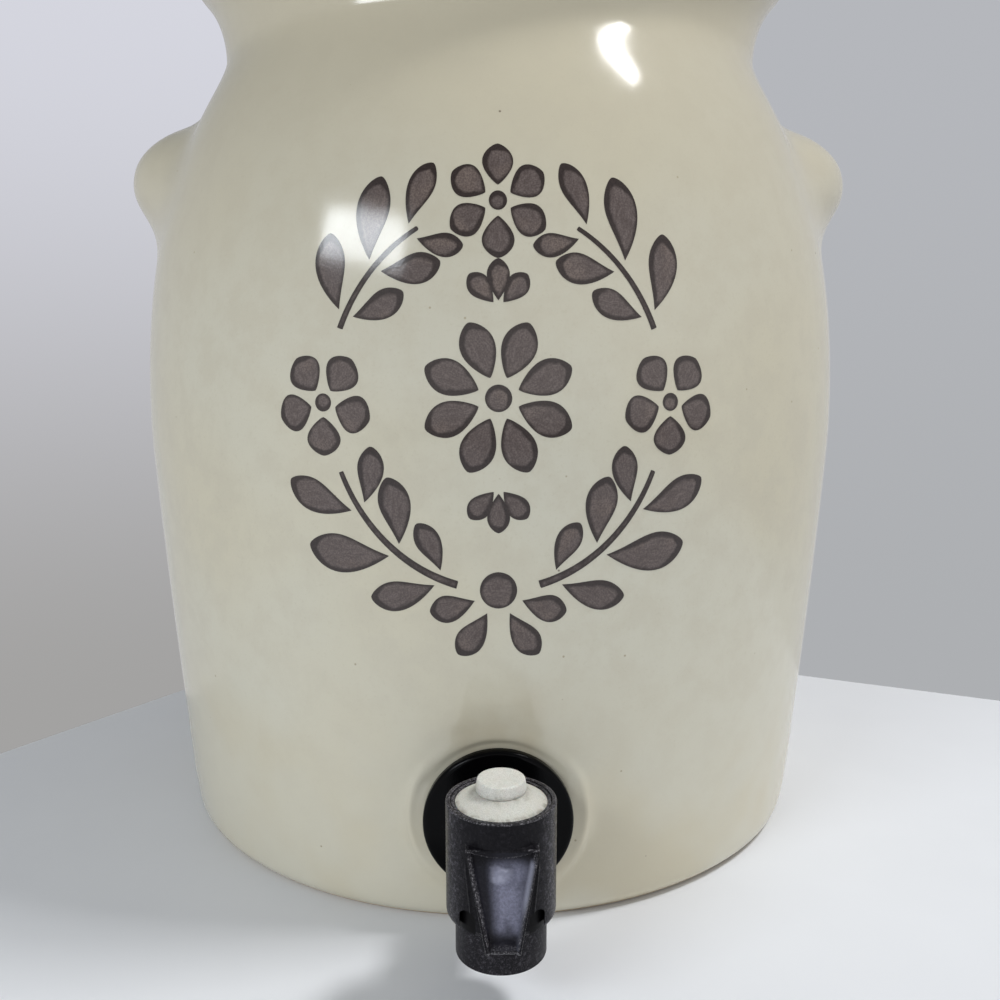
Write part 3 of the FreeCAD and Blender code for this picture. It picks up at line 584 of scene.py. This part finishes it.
class Shader:
    """A material's node tree with one principled surface, in a few short calls."""

    def __init__(self, name, **surface):
        self.material = bpy.data.materials.new(name)
        self.material.use_nodes = True
        self.tree = self.material.node_tree
        self.surface = self.tree.nodes["Principled BSDF"]
        self.set(self.surface, surface)

    def set(self, node, inputs):
        for key, value in inputs.items():
            socket = node.inputs[key.replace("_", " ")] if isinstance(key, str) else node.inputs[key]
            if isinstance(value, bpy.types.NodeSocket):
                self.tree.links.new(value, socket)
            else:
                socket.default_value = value
        return node

    def add(self, kind, inputs=None, **settings):
        node = self.tree.nodes.new(kind)
        for key, value in settings.items():
            setattr(node, key, value)
        return self.set(node, inputs or {})

    def where(self):
        """The place on the object, in metres."""
        return self.add("ShaderNodeTexCoord").outputs["Object"]

    def axes(self):
        """The X, Y and Z of that place."""
        return self.add("ShaderNodeSeparateXYZ", {"Vector": self.where()}).outputs

    def vector(self, operation, a, b=(0, 0, 0)):
        return self.add("ShaderNodeVectorMath", {0: a, 1: b}, operation=operation).outputs

    def distance(self, centre, weights):
        """How far the place lies from a centre in millimetres, in metres, with each axis weighted."""
        away = self.vector("ADD", self.where(), [-c * MM for c in centre])[0]
        return self.vector("LENGTH", self.vector("MULTIPLY", away, weights)[0])["Value"]

    def noise(self, scale, detail=2.0, roughness=0.5, vector=None):
        return self.add("ShaderNodeTexNoise", {
            "Vector": vector or self.where(), "Scale": scale, "Detail": detail,
            "Roughness": roughness}).outputs["Fac"]

    def ramp(self, value, low, high, to_low=0.0, to_high=1.0):
        inputs = {"Value": value, "From Min": low, "From Max": high, "To Min": to_low, "To Max": to_high}
        return self.add("ShaderNodeMapRange", inputs, interpolation_type="SMOOTHSTEP").outputs["Result"]

    def patches(self, scale, detail, low, high, to_low=0.0, to_high=1.0, roughness=0.5):
        """Noise, ramped between two of its levels."""
        return self.ramp(self.noise(scale, detail, roughness), low, high, to_low, to_high)

    def maths(self, operation, a, b=0.0):
        return self.add("ShaderNodeMath", {0: a, 1: b}, operation=operation).outputs[0]

    def times(self, product, *factors):
        for factor in factors:
            product = self.maths("MULTIPLY", product, factor)
        return product

    def mix(self, share, a, b):
        return self.add("ShaderNodeMix", {0: share, 6: a, 7: b}, data_type="RGBA").outputs[2]

    def layers(self, colour, *coats):
        """A colour under coats, each given as its share and its colour."""
        for share, coat in coats:
            colour = self.mix(share, colour, coat)
        return colour

    def mark(self, name):
        return self.add("ShaderNodeAttribute", attribute_name=name).outputs["Fac"]

    def bump(self, height, distance, strength=1.0, under=None):
        inputs = {"Height": height, "Distance": distance, "Strength": strength}
        if under:
            inputs["Normal"] = under
        return self.add("ShaderNodeBump", inputs).outputs["Normal"]

    def finish(self, colour, roughness, relief):
        """Give the surface its inputs and hand the material over."""
        self.set(self.surface, {"Base Color": colour, "Roughness": roughness, "Normal": relief})
        return self.material


def srgb(*levels):
    """A colour written as 0 to 255 screen levels, turned into linear light."""
    shares = [level / 255 for level in levels]
    linear = [s / 12.92 if s <= 0.04045 else ((s + 0.055) / 1.055) ** 2.4 for s in shares]
    return (*linear, 1.0)


def specks(shader, scale, size, keep, shift):
    """Sparse round specks: cells of the given scale, a share of them filled."""
    where = shader.vector("ADD", shader.where(), (shift, shift, shift))[0]
    cells = shader.add("ShaderNodeTexVoronoi", {"Vector": where, "Scale": scale}).outputs
    dot = shader.ramp(cells["Distance"], size * 0.5, size, 1, 0)
    draw = shader.add("ShaderNodeSeparateColor", {"Color": cells["Color"]}).outputs[0]
    return shader.times(dot, shader.maths("LESS_THAN", draw, keep))


def glaze_surface(shader, colour, bare=0.0):
    """The glaze's coat over a colour: a satin shine that sways gently, dull where the clay is bare."""
    fine = shader.bump(shader.noise(1900, 2), 0.000011, 0.9)
    satin = shader.patches(120, 3, 0.3, 0.7, 0.10, 0.14)
    rough = shader.maths("ADD", satin, shader.times(bare, 0.5))
    return shader.finish(colour, rough, shader.bump(shader.noise(38, 1), 0.0003, 0.25, fine))


def make_glaze():
    """Cream glaze, darker towards the top with painted shade and paler towards the foot with painted
    light; the foot's rim is bare clay. Above the tap it is tinted darker and browner.
    """
    shader = Shader("cream_glaze", IOR=1.5)
    across, depth, height = shader.axes()
    clouds = shader.patches(11, 2, 0.35, 0.65)
    mottle = shader.patches(95, 4, 0.38, 0.66, 0, 0.55, roughness=0.65)
    grain = shader.patches(1300, 2, 0.55, 0.75, 0, 0.16)
    # Painted shade darkens the glaze towards the top, and painted light makes it paler towards the foot.
    painted_top_shade = shader.ramp(height, 0.10, 0.28, 0.0, 0.8)
    painted_foot_light = shader.ramp(height, 0.0, 0.13, 0.75, 0.0)
    blush = shader.times(shader.ramp(height, 0.01, 0.09, 0.32, 0.0), shader.patches(26, 2, 0.4, 0.65))
    # Darker and browner in a band over the tap.
    over_tap_tint = shader.times(
        shader.ramp(shader.maths("ABSOLUTE", across), 0.007, 0.016, 0.34, 0.0),
        shader.ramp(depth, -0.100, -0.108),
        shader.ramp(height, (TAP_Z + 46) * MM, (TAP_Z + 20) * MM),
        shader.patches(140, 3, 0.25, 0.7, 0.5, 1.0))
    bare = shader.ramp(height, 0.0014, 0.0006)
    clay = shader.mix(shader.noise(900, 3), srgb(196, 178, 146), srgb(172, 150, 118))
    tone = shader.layers(
        shader.mix(clouds, srgb(203, 197, 175), srgb(204, 201, 184)),
        (mottle, srgb(195, 189, 170)),
        (grain, srgb(176, 166, 138)),
        (painted_top_shade, srgb(186, 178, 156)),
        (painted_foot_light, srgb(213, 209, 191)),
        (blush, srgb(199, 184, 146)),
        (over_tap_tint, srgb(178, 160, 124)),
        (specks(shader, 70, 0.035, 0.14, 0.0), srgb(112, 100, 86)),
        (specks(shader, 230, 0.10, 0.07, 3.1), srgb(172, 162, 138)),
        (bare, clay))
    return glaze_surface(shader, tone, bare)


def make_brushwork():
    """Brown slip: a streaky, grainy wash in a dark outline that is heavy on one side and at the tip."""
    shader = Shader("brown_brushwork", IOR=1.5)
    edge, along, side = (shader.mark(name) for name in ("edge", "along", "side"))
    across = shader.maths("ADD", side, shader.patches(90, 2, 0.2, 0.8, -0.5, 0.5))
    flow = shader.add("ShaderNodeCombineXYZ", {
        "X": shader.times(along, 1.3), "Y": shader.times(across, 4.2), "Z": shader.noise(9, 0)})
    streak = shader.ramp(shader.noise(2.2, 4, 0.6, vector=flow.outputs[0]), 0.35, 0.65)
    grain = shader.patches(2300, 2, 0.34, 0.66)
    fill = shader.layers(
        shader.mix(streak, srgb(92, 81, 77), srgb(107, 96, 92)),
        (shader.patches(75, 2, 0.5, 0.7, 0.0, 0.45), srgb(128, 113, 103)),
        (shader.times(grain, 0.55), srgb(64, 53, 50)))
    wobble = shader.patches(420, 2, 0.2, 0.8, -0.3, 0.3)
    heavy = shader.ramp(side, -0.3, 0.9, 0.0, 0.9)
    tip = shader.ramp(along, 0.70, 1.0, 0.0, 1.7)
    width = shader.maths("ADD", shader.maths("MAXIMUM", heavy, tip), shader.maths("ADD", wobble, 0.45))
    rim = shader.ramp(shader.maths("SUBTRACT", edge, width), -0.3, 0.75, 1.0, 0.0)
    dark = shader.mix(shader.times(grain, 0.6), srgb(54, 44, 41), srgb(36, 28, 26))
    return glaze_surface(shader, shader.mix(rim, fill, dark))


BLACK_IOR = 1.18


def black_surface(shader, tone, pale, dust_and_sheen, rough, worn=None):
    """Grained black plastic with pale dust, which on the shroud's sides is also a painted sheen, and
    pale specks where it is worn or given a painted glint.
    """
    fine = shader.times(shader.patches(4200, 2, 0.55, 0.7), dust_and_sheen)
    mottle = shader.times(shader.patches(1100, 4, 0.5, 0.68, roughness=0.7), dust_and_sheen)
    colour = shader.layers(tone, (fine, pale), (mottle, pale))
    if worn:
        chips_and_glints = shader.times(worn, shader.patches(2300, 3, 0.5, 0.62, 0.05, 0.75, roughness=0.7))
        colour = shader.mix(chips_and_glints, colour, srgb(140, 138, 142))
    return shader.finish(colour, rough, shader.bump(shader.noise(3000, 3, 0.6), 0.00004, 0.4))


def make_black_plastic():
    """Plain moulded black plastic."""
    shader = Shader("black_plastic", IOR=BLACK_IOR)
    rough = shader.patches(900, 3, 0.3, 0.7, 0.3, 0.4)
    return black_surface(shader, srgb(15, 14, 15), srgb(46, 44, 45), 0.4, rough)


def make_barrel_plastic():
    """The barrel: the flange disc glossy, the spout grained, with painted shade where the shroud covers
    it and a little below its edge.
    """
    shader = Shader("barrel_plastic", IOR=BLACK_IOR)
    _, depth, height = shader.axes()
    disc_front = -(PAD_FACE + GASKET + FLANGE + 0.4) * MM
    # Painted shade on the spout under the shroud, reaching a little below its edge.
    shade_from = (TAP_Z - SHROUD_DROP - 1.1) * MM
    disc = shader.ramp(depth, disc_front - 0.0002, disc_front)
    painted_cover_shade = shader.ramp(height, shade_from - 0.0002, shade_from + 0.0004)
    spout = shader.maths("SUBTRACT", 1.0, shader.maths("MAXIMUM", disc, painted_cover_shade))
    tone = shader.layers(srgb(28, 27, 30), (painted_cover_shade, srgb(9, 8, 9)), (disc, srgb(4, 4, 5)))
    rough = shader.ramp(disc, 0, 1, 0.42, 0.1)
    return black_surface(shader, tone, srgb(100, 97, 103), shader.times(spout, 0.38), rough)


# Where the painted sheen on the hook's face centres across it, and where its painted highlight spot lies
# above the tap's axis
SHEEN_X, HIGHLIGHT_X, HIGHLIGHT_Z = 1.0, -0.4, 9.2


def make_shroud_plastic():
    """The shroud: grained, chipped pale along its edges with painted glints, and a painted grey sheen
    and painted highlights on the hook's face.
    """
    shader = Shader("shroud_plastic", IOR=BLACK_IOR)
    scoop, worn = shader.mark("scoop"), shader.mark("worn")
    across, depth, height = shader.axes()
    height = shader.maths("SUBTRACT", height, TAP_Z * MM)
    off = shader.maths("SUBTRACT", across, SHEEN_X * MM)
    off = shader.maths("MAXIMUM", shader.times(off, 0.74), shader.times(off, -1.0))
    off = shader.times(off, shader.ramp(height, -0.007, 0.014, 1.15, 0.85))
    middle = shader.times(
        shader.ramp(height, -0.0054, -0.0010),
        shader.ramp(height, 0.0145, 0.009),
        shader.patches(190, 2, 0.35, 0.62, 0.58, 1.0))
    # A painted grey sheen over the middle of the hook's face.
    painted_sheen = shader.times(
        scoop,
        shader.ramp(middle, 0, 1, 0.05, 1.0),
        shader.ramp(off, 0.0010, 0.0048, 1.0, 0.05),
        shader.patches(1500, 3, 0.35, 0.65, 0.7, 1.0, roughness=0.7))
    # A painted highlight spot on the face, above the tap's axis.
    reach = shader.distance((HIGHLIGHT_X, TAP_Y, TAP_Z + HIGHLIGHT_Z), (0.8, 0, 1))
    reach = shader.maths("ADD", reach, shader.patches(300, 2, 0.2, 0.8, -0.0009, 0.0009))
    spot = shader.times(
        scoop,
        shader.ramp(reach, 0.0006, 0.0026, 0.85, 0.0),
        shader.patches(430, 1, 0.38, 0.58, 0.45, 1.0))
    # A painted highlight strip on the face's right inner wall.
    painted_strip = shader.times(shader.mark("bright"), shader.ramp(height, 0.000, 0.005, 0.12, 0.9))
    tone = shader.layers(
        srgb(20, 19, 22),
        (painted_sheen, srgb(130, 131, 150)),
        (shader.maths("MAXIMUM", spot, painted_strip), srgb(176, 178, 196)))
    # Paler towards the sides and back: dust, and on the flanks a painted sheen.
    behind = shader.ramp(depth, (TAP_Y - 12) * MM, (TAP_Y - 5) * MM)
    dust_and_sheen = shader.ramp(behind, 0, 1, 0.08, 0.95)
    rough = shader.times(
        shader.patches(900, 3, 0.3, 0.7, 0.24, 0.34),
        shader.ramp(scoop, 0.2, 0.9, 1.0, 0.7))
    return black_surface(shader, tone, srgb(98, 95, 102), dust_and_sheen, rough, worn)


def make_matt_white(name, tone, grain_scale, grain_depth):
    """Matt white with a fine grain and some dirt, with painted shade round the button's foot and at the
    cone's outer edge.
    """
    shader = Shader(name, Subsurface_Weight=0.08, Subsurface_Scale=0.001)
    grain = shader.noise(grain_scale, 3, 0.65)
    dirt = shader.patches(520, 4, 0.4, 0.7, roughness=0.65)
    out = shader.distance((0, TAP_Y, 0), (1, 1, 0))
    height = shader.maths("SUBTRACT", shader.axes()["Z"], TAP_Z * MM)
    # Painted shade where the button's foot meets the cone, and at the cone's outer edge by the ring.
    foot = shader.times(
        shader.ramp(out, 0.0063, 0.0083, 1.0, 0.0),
        shader.ramp(height, 0.0262, 0.0242),
        shader.ramp(dirt, 0, 1, 0.2, 0.6))
    rim = shader.times(shader.ramp(out, 0.0100, 0.0112), shader.ramp(dirt, 0, 1, 0.1, 0.7))
    duller = srgb(*(level - 24 for level in tone))
    colour = shader.layers(
        shader.mix(shader.ramp(grain, 0.4, 0.6), duller, srgb(*tone)),
        (shader.times(dirt, 0.3), srgb(196, 192, 178)),
        (shader.maths("MAXIMUM", foot, rim), srgb(128, 123, 112)))
    return shader.finish(colour, shader.ramp(dirt, 0, 1, 0.5, 0.7), shader.bump(grain, grain_depth, 0.8))


def make_grained(name, noise, tones, roughness, bump, **surface):
    """A plain material with one grain in its colour, its roughness and its relief."""
    shader = Shader(name, **surface)
    grain = shader.noise(*noise)
    colour = shader.mix(grain, *(srgb(*tone) for tone in tones))
    return shader.finish(colour, shader.ramp(grain, 0.3, 0.7, *roughness), shader.bump(grain, *bump))


# The painted decoration: a leafy wreath with rosettes, brushed on under the glaze

DECOR_Z, DECOR_LIFT, DECOR_SINK, DECOR_MESH = 150.0, 0.06, 0.04, 0.75
WREATH_A, WREATH_B = 45.5, 49.5


def path_frame(path):
    """The unit tangents and normals along a path."""
    tangent = np.gradient(path, axis=0)
    tangent /= np.linalg.norm(tangent, axis=1)[:, None]
    return tangent, np.stack([-tangent[:, 1], tangent[:, 0]], axis=1)


def leaf_shape(base, heading, length, width, bend=0.0, fullness=1.55):
    """A comma stroke, narrow at its base and full near its tip: its outline and its spine's frame."""
    t = 0.5 - 0.5 * np.cos(np.linspace(0, math.pi, 34))
    direction, across = unit(heading), unit(heading + math.pi / 2)
    spine = np.array(base) + np.outer(t * length, direction) + np.outer(bend * length * t * t, across)
    half = width / 2 * np.sin(math.pi * t**fullness) ** 0.64
    reach = path_frame(spine)[1] * half[:, None]
    outline = np.vstack([spine + reach, (spine - reach)[-2:0:-1]])
    return outline, (np.array(base, float), direction, length, across, width)


def disc_shape(centre, radius):
    base, width = np.array(centre, float) - (radius, 0), 2 * radius
    return circle(centre, radius, 40), (base, unit(0), width, unit(math.pi / 2), width)


def stroke_shape(path, width_start, width_end):
    """A tapering line along a path."""
    path = np.asarray(path, float)
    tangent, normal = path_frame(path)
    half = np.linspace(width_start, width_end, len(path))[:, None] / 2
    outline = np.vstack([path + normal * half, (path - normal * half)[::-1]])
    return outline, (path[0], tangent[0], 1e6, normal[0], 1e6)


def rosette(centre, radius, petals, turn=0.0):
    """Petals round a ringed eye."""
    shapes = [disc_shape(centre, radius * 0.17)]
    for k in range(petals):
        heading = turn + 2 * math.pi * k / petals
        base = np.array(centre) + radius * 0.27 * unit(heading)
        width = 2 * math.pi * radius * 0.66 / petals * 0.86
        shapes.append(leaf_shape(base, heading, radius * 0.73, width, fullness=1.25))
    return shapes


def wreath_point(turn):
    """A point on the wreath's line, counted from its lowest point, with its heading."""
    point = np.array((WREATH_A * math.sin(turn), -WREATH_B * math.cos(turn)))
    return point, math.atan2(WREATH_B * math.sin(turn), WREATH_A * math.cos(turn))


def wreath_side():
    """One half of the wreath, on the right: two stems with leaves on both sides and one at the tip."""
    shapes = []
    for start, end, wide, thin in ((14, 68, 2.2, 1.4), (112, 152, 1.7, 1.2)):
        stem = [wreath_point(math.radians(d))[0] for d in np.linspace(start, end, 30)]
        shapes.append(stroke_shape(stem, wide, thin))
    for degrees, size in ((21, 0.78), (38, 1.0), (56, 0.84), (117, 0.84), (134, 0.9), (150, 0.7)):
        point, heading = wreath_point(math.radians(degrees))
        out = unit(heading - math.pi / 2)
        shapes.append(leaf_shape(point + out * 2.2, heading - 0.86, 23 * size, 10.6 * size, bend=0.24))
        shapes.append(leaf_shape(point - out * 2.2, heading + 0.92, 17.5 * size, 8.8 * size, bend=-0.22))
    return shapes


def mirrored(shapes):
    flip = np.array((-1.0, 1.0))
    return [(outline[::-1] * flip, (base * flip, direction * flip, length, -across * flip, width))
            for outline, (base, direction, length, across, width) in shapes]


def decoration_shapes():
    centre = np.array((0.0, 1.0))
    side = wreath_side() + rosette((WREATH_A + 1.5, -0.5), 14.0, 5, math.radians(198))
    shapes = side + mirrored(side)
    shapes += rosette(centre, 20.5, 8, math.radians(22.5))
    shapes += rosette((0, WREATH_B + 1.0), 14.5, 6, math.radians(30))
    for heading in (90, 270):
        for spread, length in ((0, 10.5), (42, 9.5), (-42, 9.5)):
            turn = math.radians(heading + spread)
            start = centre + 22.6 * unit(math.radians(heading))
            shapes.append(leaf_shape(start + 1.9 * unit(turn), turn, length, 6.0, fullness=1.4))
    shapes.append(disc_shape((0, -WREATH_B), 5.0))
    for hand in (-1, 1):
        for heading, length in ((-24, 12.5), (-64, 14.0)):
            turn = math.radians(heading if hand > 0 else 180 - heading)
            start = np.array((0, -WREATH_B)) + 7.0 * unit(turn)
            shapes.append(leaf_shape(start, turn, length, 7.6, bend=0.16 * hand))
    return shapes


def edge_distance(points, outline):
    """How far each point lies from a closed outline."""
    a, b = outline, np.roll(outline, -1, axis=0)
    run = b - a
    reach = points[:, None, :] - a[None]
    t = np.clip((reach * run).sum(-1) / np.maximum((run * run).sum(-1), 1e-12), 0, 1)
    return np.linalg.norm(reach - t[..., None] * run, axis=-1).min(axis=1)


def resample(outline, step):
    closed = np.vstack([outline, outline[:1]])
    lengths = np.concatenate([[0], np.cumsum(np.linalg.norm(np.diff(closed, axis=0), axis=1))])
    count = max(10, round(lengths[-1] / step))
    at = np.linspace(0, lengths[-1], count, endpoint=False)
    return np.stack([np.interp(at, lengths, closed[:, k]) for k in (0, 1)], axis=1)


def inside_outline(points, outline):
    a, b = outline, np.roll(outline, -1, axis=0)
    x, y = points[:, None, 0], points[:, None, 1]
    crosses = (a[:, 1] > y) != (b[:, 1] > y)
    rise = np.where(b[:, 1] == a[:, 1], 1e-12, b[:, 1] - a[:, 1])
    left = x < (b[:, 0] - a[:, 0]) * (y - a[:, 1]) / rise + a[:, 0]
    return (crosses & left).sum(axis=1) % 2 == 1


def fill_shape(outline):
    """Points and triangles that fill an outline evenly."""
    low, high = outline.min(axis=0), outline.max(axis=0)
    rows = np.arange(low[1], high[1], DECOR_MESH * 0.87)
    grid = [(x + (i % 2) * DECOR_MESH / 2, y) for i, y in enumerate(rows)
            for x in np.arange(low[0], high[0], DECOR_MESH)]
    grid = np.array(grid).reshape(-1, 2)
    grid = grid[inside_outline(grid, outline)]
    grid = grid[edge_distance(grid, outline) > DECOR_MESH * 0.4]
    points = np.vstack([outline, grid])
    ring = [(i, (i + 1) % len(outline)) for i in range(len(outline))]
    filled = delaunay_2d_cdt([Vector(p) for p in points], ring, [], 1, 1e-6)
    return np.array([tuple(p) for p in filled[0]]), [tuple(f) for f in filled[2]]


def build_decoration(paint):
    """Each shape as a thin closed layer laid on the crock's wall."""
    points, faces, edge, along, side = [], [], [], [], []
    for raw, (base, direction, length, across, width) in decoration_shapes():
        outline = resample(raw, DECOR_MESH * 0.8)
        flat, triangles = fill_shape(outline)
        angle, z = flat[:, 0] / BELLY_R, DECOR_Z + flat[:, 1]
        r = crock_r(angle, z)
        count, start = len(flat), len(points)
        for lift in (DECOR_LIFT, -DECOR_SINK):
            points += turned_points(r + lift, angle, z).tolist()
            edge += edge_distance(flat, outline).tolist()
            along += ((flat - base) @ direction / length).tolist()
            side += ((flat - base) @ across / width * 2).tolist()
        faces += [tuple(start + i for i in f) for f in triangles]
        faces += [tuple(start + count + i for i in reversed(f)) for f in triangles]
        sides = dict.fromkeys(pair for f in triangles for pair in zip(f, f[1:] + f[:1]))
        for a, b in sides:
            if (b, a) not in sides:
                faces.append((start + b, start + a, start + count + a, start + count + b))
    mesh = new_mesh("brushwork", points, faces, 40, edge=edge, along=along, side=side)
    decoration = link("painted_wreath", mesh, paint)
    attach(decoration, "crock")


# Stage, lamps and camera

CAMERA_AWAY, CAMERA_UP, CAMERA_PITCH = 369.5, 165.1, 9.2
CAMERA_AZIMUTH, CAMERA_YAW = -0.9, -0.52
FOCAL_PX, FRAME_PX, SENSOR = 975.0, 1000.0, 36.0


def build_camera():
    data = bpy.data.cameras.new("camera")
    data.sensor_width, data.sensor_fit = SENSOR, "HORIZONTAL"
    data.lens = FOCAL_PX / FRAME_PX * SENSOR
    data.clip_start, data.clip_end = 0.01, 100
    camera = link("camera", data)
    swing, yaw, pitch = (Matrix.Rotation(math.radians(angle), 4, axis) for angle, axis in (
        (CAMERA_AZIMUTH, "Z"), (CAMERA_YAW, "Z"), (90 - CAMERA_PITCH, "X")))
    spot = Matrix.Translation((0, -CAMERA_AWAY * MM, CAMERA_UP * MM))
    camera.matrix_world = swing @ spot @ yaw @ pitch
    bpy.context.scene.camera = camera


def lamp(name, place, target, size, power, colour=(1, 1, 1)):
    """A rectangular soft lamp at a place in metres, turned to a target."""
    data = bpy.data.lights.new(name, "AREA")
    data.shape, data.size, data.size_y = "RECTANGLE", size[0], size[1]
    data.energy, data.color = power, colour
    light = link(name, data)
    light.location = place
    light.rotation_euler = (Vector(target) - Vector(place)).to_track_quat("-Z", "Y").to_euler()
    return light


def build_lamps():
    """A lamp on the right casts the shadow to the left; a small one and a window give the highlights."""
    key = lamp("key", (0.85, -0.04, 1.42), (0, 0, 0.12), (0.25, 0.25), 10.5)
    key.visible_glossy = False
    lamp("ceiling_lamp", (0.76, -0.21, 1.50), (0, -0.05, 0.25), (0.10, 0.25), 3.8)
    lamp("window", (-0.95, -1.08, 0.88), (0, 0, 0.15), (0.70, 0.26), 8, (0.90, 0.95, 1.0))


class Sky(Shader):
    """The world's node tree, with the same short calls. Its place is the direction looked in."""

    def __init__(self, name):
        world = bpy.data.worlds.new(name)
        world.use_nodes = True
        bpy.context.scene.world = world
        self.tree = world.node_tree
        self.tree.nodes.clear()

    def where(self):
        return self.add("ShaderNodeTexCoord").outputs["Generated"]


def build_world():
    """A pale room: even light that is a little weaker overhead, seen by the camera as two grey walls,
    the left one darker low down with painted shadow.
    """
    sky = Sky("room")
    x, y, z = sky.axes()
    overhead = sky.mix(sky.ramp(x, -0.5, 0.8), (0.19, 0.195, 0.20, 1), (0.40, 0.405, 0.42, 1))
    level = sky.mix(sky.ramp(y, -0.8, 0.2), (0.93, 0.935, 0.95, 1), (0.54, 0.545, 0.56, 1))
    light = sky.mix(sky.ramp(z, 0.08, 0.7), level, overhead)
    # The left wall darkens low down: painted shadow.
    left = sky.mix(sky.ramp(z, -0.34, 0.32), srgb(163, 162, 161), srgb(213, 214, 223))
    right = sky.mix(sky.ramp(z, -0.3, 0.3), srgb(173, 175, 178), srgb(181, 183, 188))
    walls = sky.mix(sky.ramp(x, -0.15, 0.2), left, right)
    walls = sky.mix(sky.ramp(y, 0.76, 0.45), walls, srgb(214, 216, 221))
    room = sky.add("ShaderNodeBackground", {"Color": light})
    seen = sky.add("ShaderNodeBackground", {"Color": walls})
    camera_ray = sky.add("ShaderNodeLightPath").outputs["Is Camera Ray"]
    pick = sky.add("ShaderNodeMixShader", {0: camera_ray, 1: room.outputs[0], 2: seen.outputs[0]})
    sky.add("ShaderNodeOutputWorld", {"Surface": pick.outputs[0]})


def make_floor():
    shader = Shader("white_board", Roughness=0.45)
    tone = shader.mix(shader.noise(30, 2), srgb(229, 231, 235), srgb(233, 235, 239))
    shader.set(shader.surface, {"Base Color": tone})
    return shader.material


FLOOR_CORNER, FLOOR_TURNS, FLOOR_LENGTH = (-64.0, 196.0), (233.9, -24.5), 3200.0


def build_floor():
    """A white board whose two back edges meet behind the crock, where the room's walls would stand."""
    corner = np.array(FLOOR_CORNER)
    ends = [corner + FLOOR_LENGTH * unit(math.radians(turn)) for turn in FLOOR_TURNS]
    near = -1.5 * FLOOR_LENGTH
    outline = [corner, ends[0], (ends[0][0], near), (ends[1][0], near), ends[1]]
    mesh = bpy.data.meshes.new("floor")
    mesh.from_pydata([(x * MM, y * MM, 0) for x, y in outline], [], [tuple(range(len(outline)))])
    floor = link("floor", mesh, make_floor())


# The whole


def paint_cad_nodes(materials):
    """The pieces that keep their CAD meshes: every material slot gets the finish of its record slot, the
    barrel a finish of its own.
    """
    slots = {row["node"]: row["material_slot"] for row in frame["record"]["subparts"]}
    for name, node in frame["nodes"].items():
        finish = materials["tap_barrel" if name == "tap_barrel" else slots[name]]
        node.data.materials.clear()
        node.data.materials.append(finish)


def main():
    bpy.context.scene.view_settings.view_transform = "Standard"
    glaze = make_glaze()
    shroud_plastic = make_shroud_plastic()
    white_rubber = make_matt_white("white_rubber", (219, 218, 209), 4600, 0.00012)
    white_plastic = make_matt_white("white_plastic", (227, 226, 218), 4200, 0.00005)
    seal_rubber = make_grained("seal_rubber", (1800, 3), ((24, 24, 24), (44, 43, 42)), (0.6, 0.8),
                               (0.00004, 0.5), Specular_IOR_Level=0.35)
    steel = make_grained("spring_steel", (1200, 2), ((150, 150, 152), (196, 196, 198)), (0.22, 0.38),
                         (0.00001, 0.4), Metallic=1.0)
    paint_cad_nodes({
        "glaze": glaze, "black_plastic": make_black_plastic(), "tap_barrel": make_barrel_plastic(),
        "white_flex": white_rubber, "white_plastic": white_plastic, "seal_rubber": seal_rubber,
        "spring_steel": steel})
    build_crock(glaze)
    build_lid(glaze)
    build_shroud(shroud_plastic)
    build_clamp_ring(shroud_plastic)
    build_diaphragm(white_rubber)
    build_button(white_plastic)
    build_spring(steel)
    build_decoration(make_brushwork())
    build_floor()
    build_world()
    build_lamps()
    build_camera()


main()
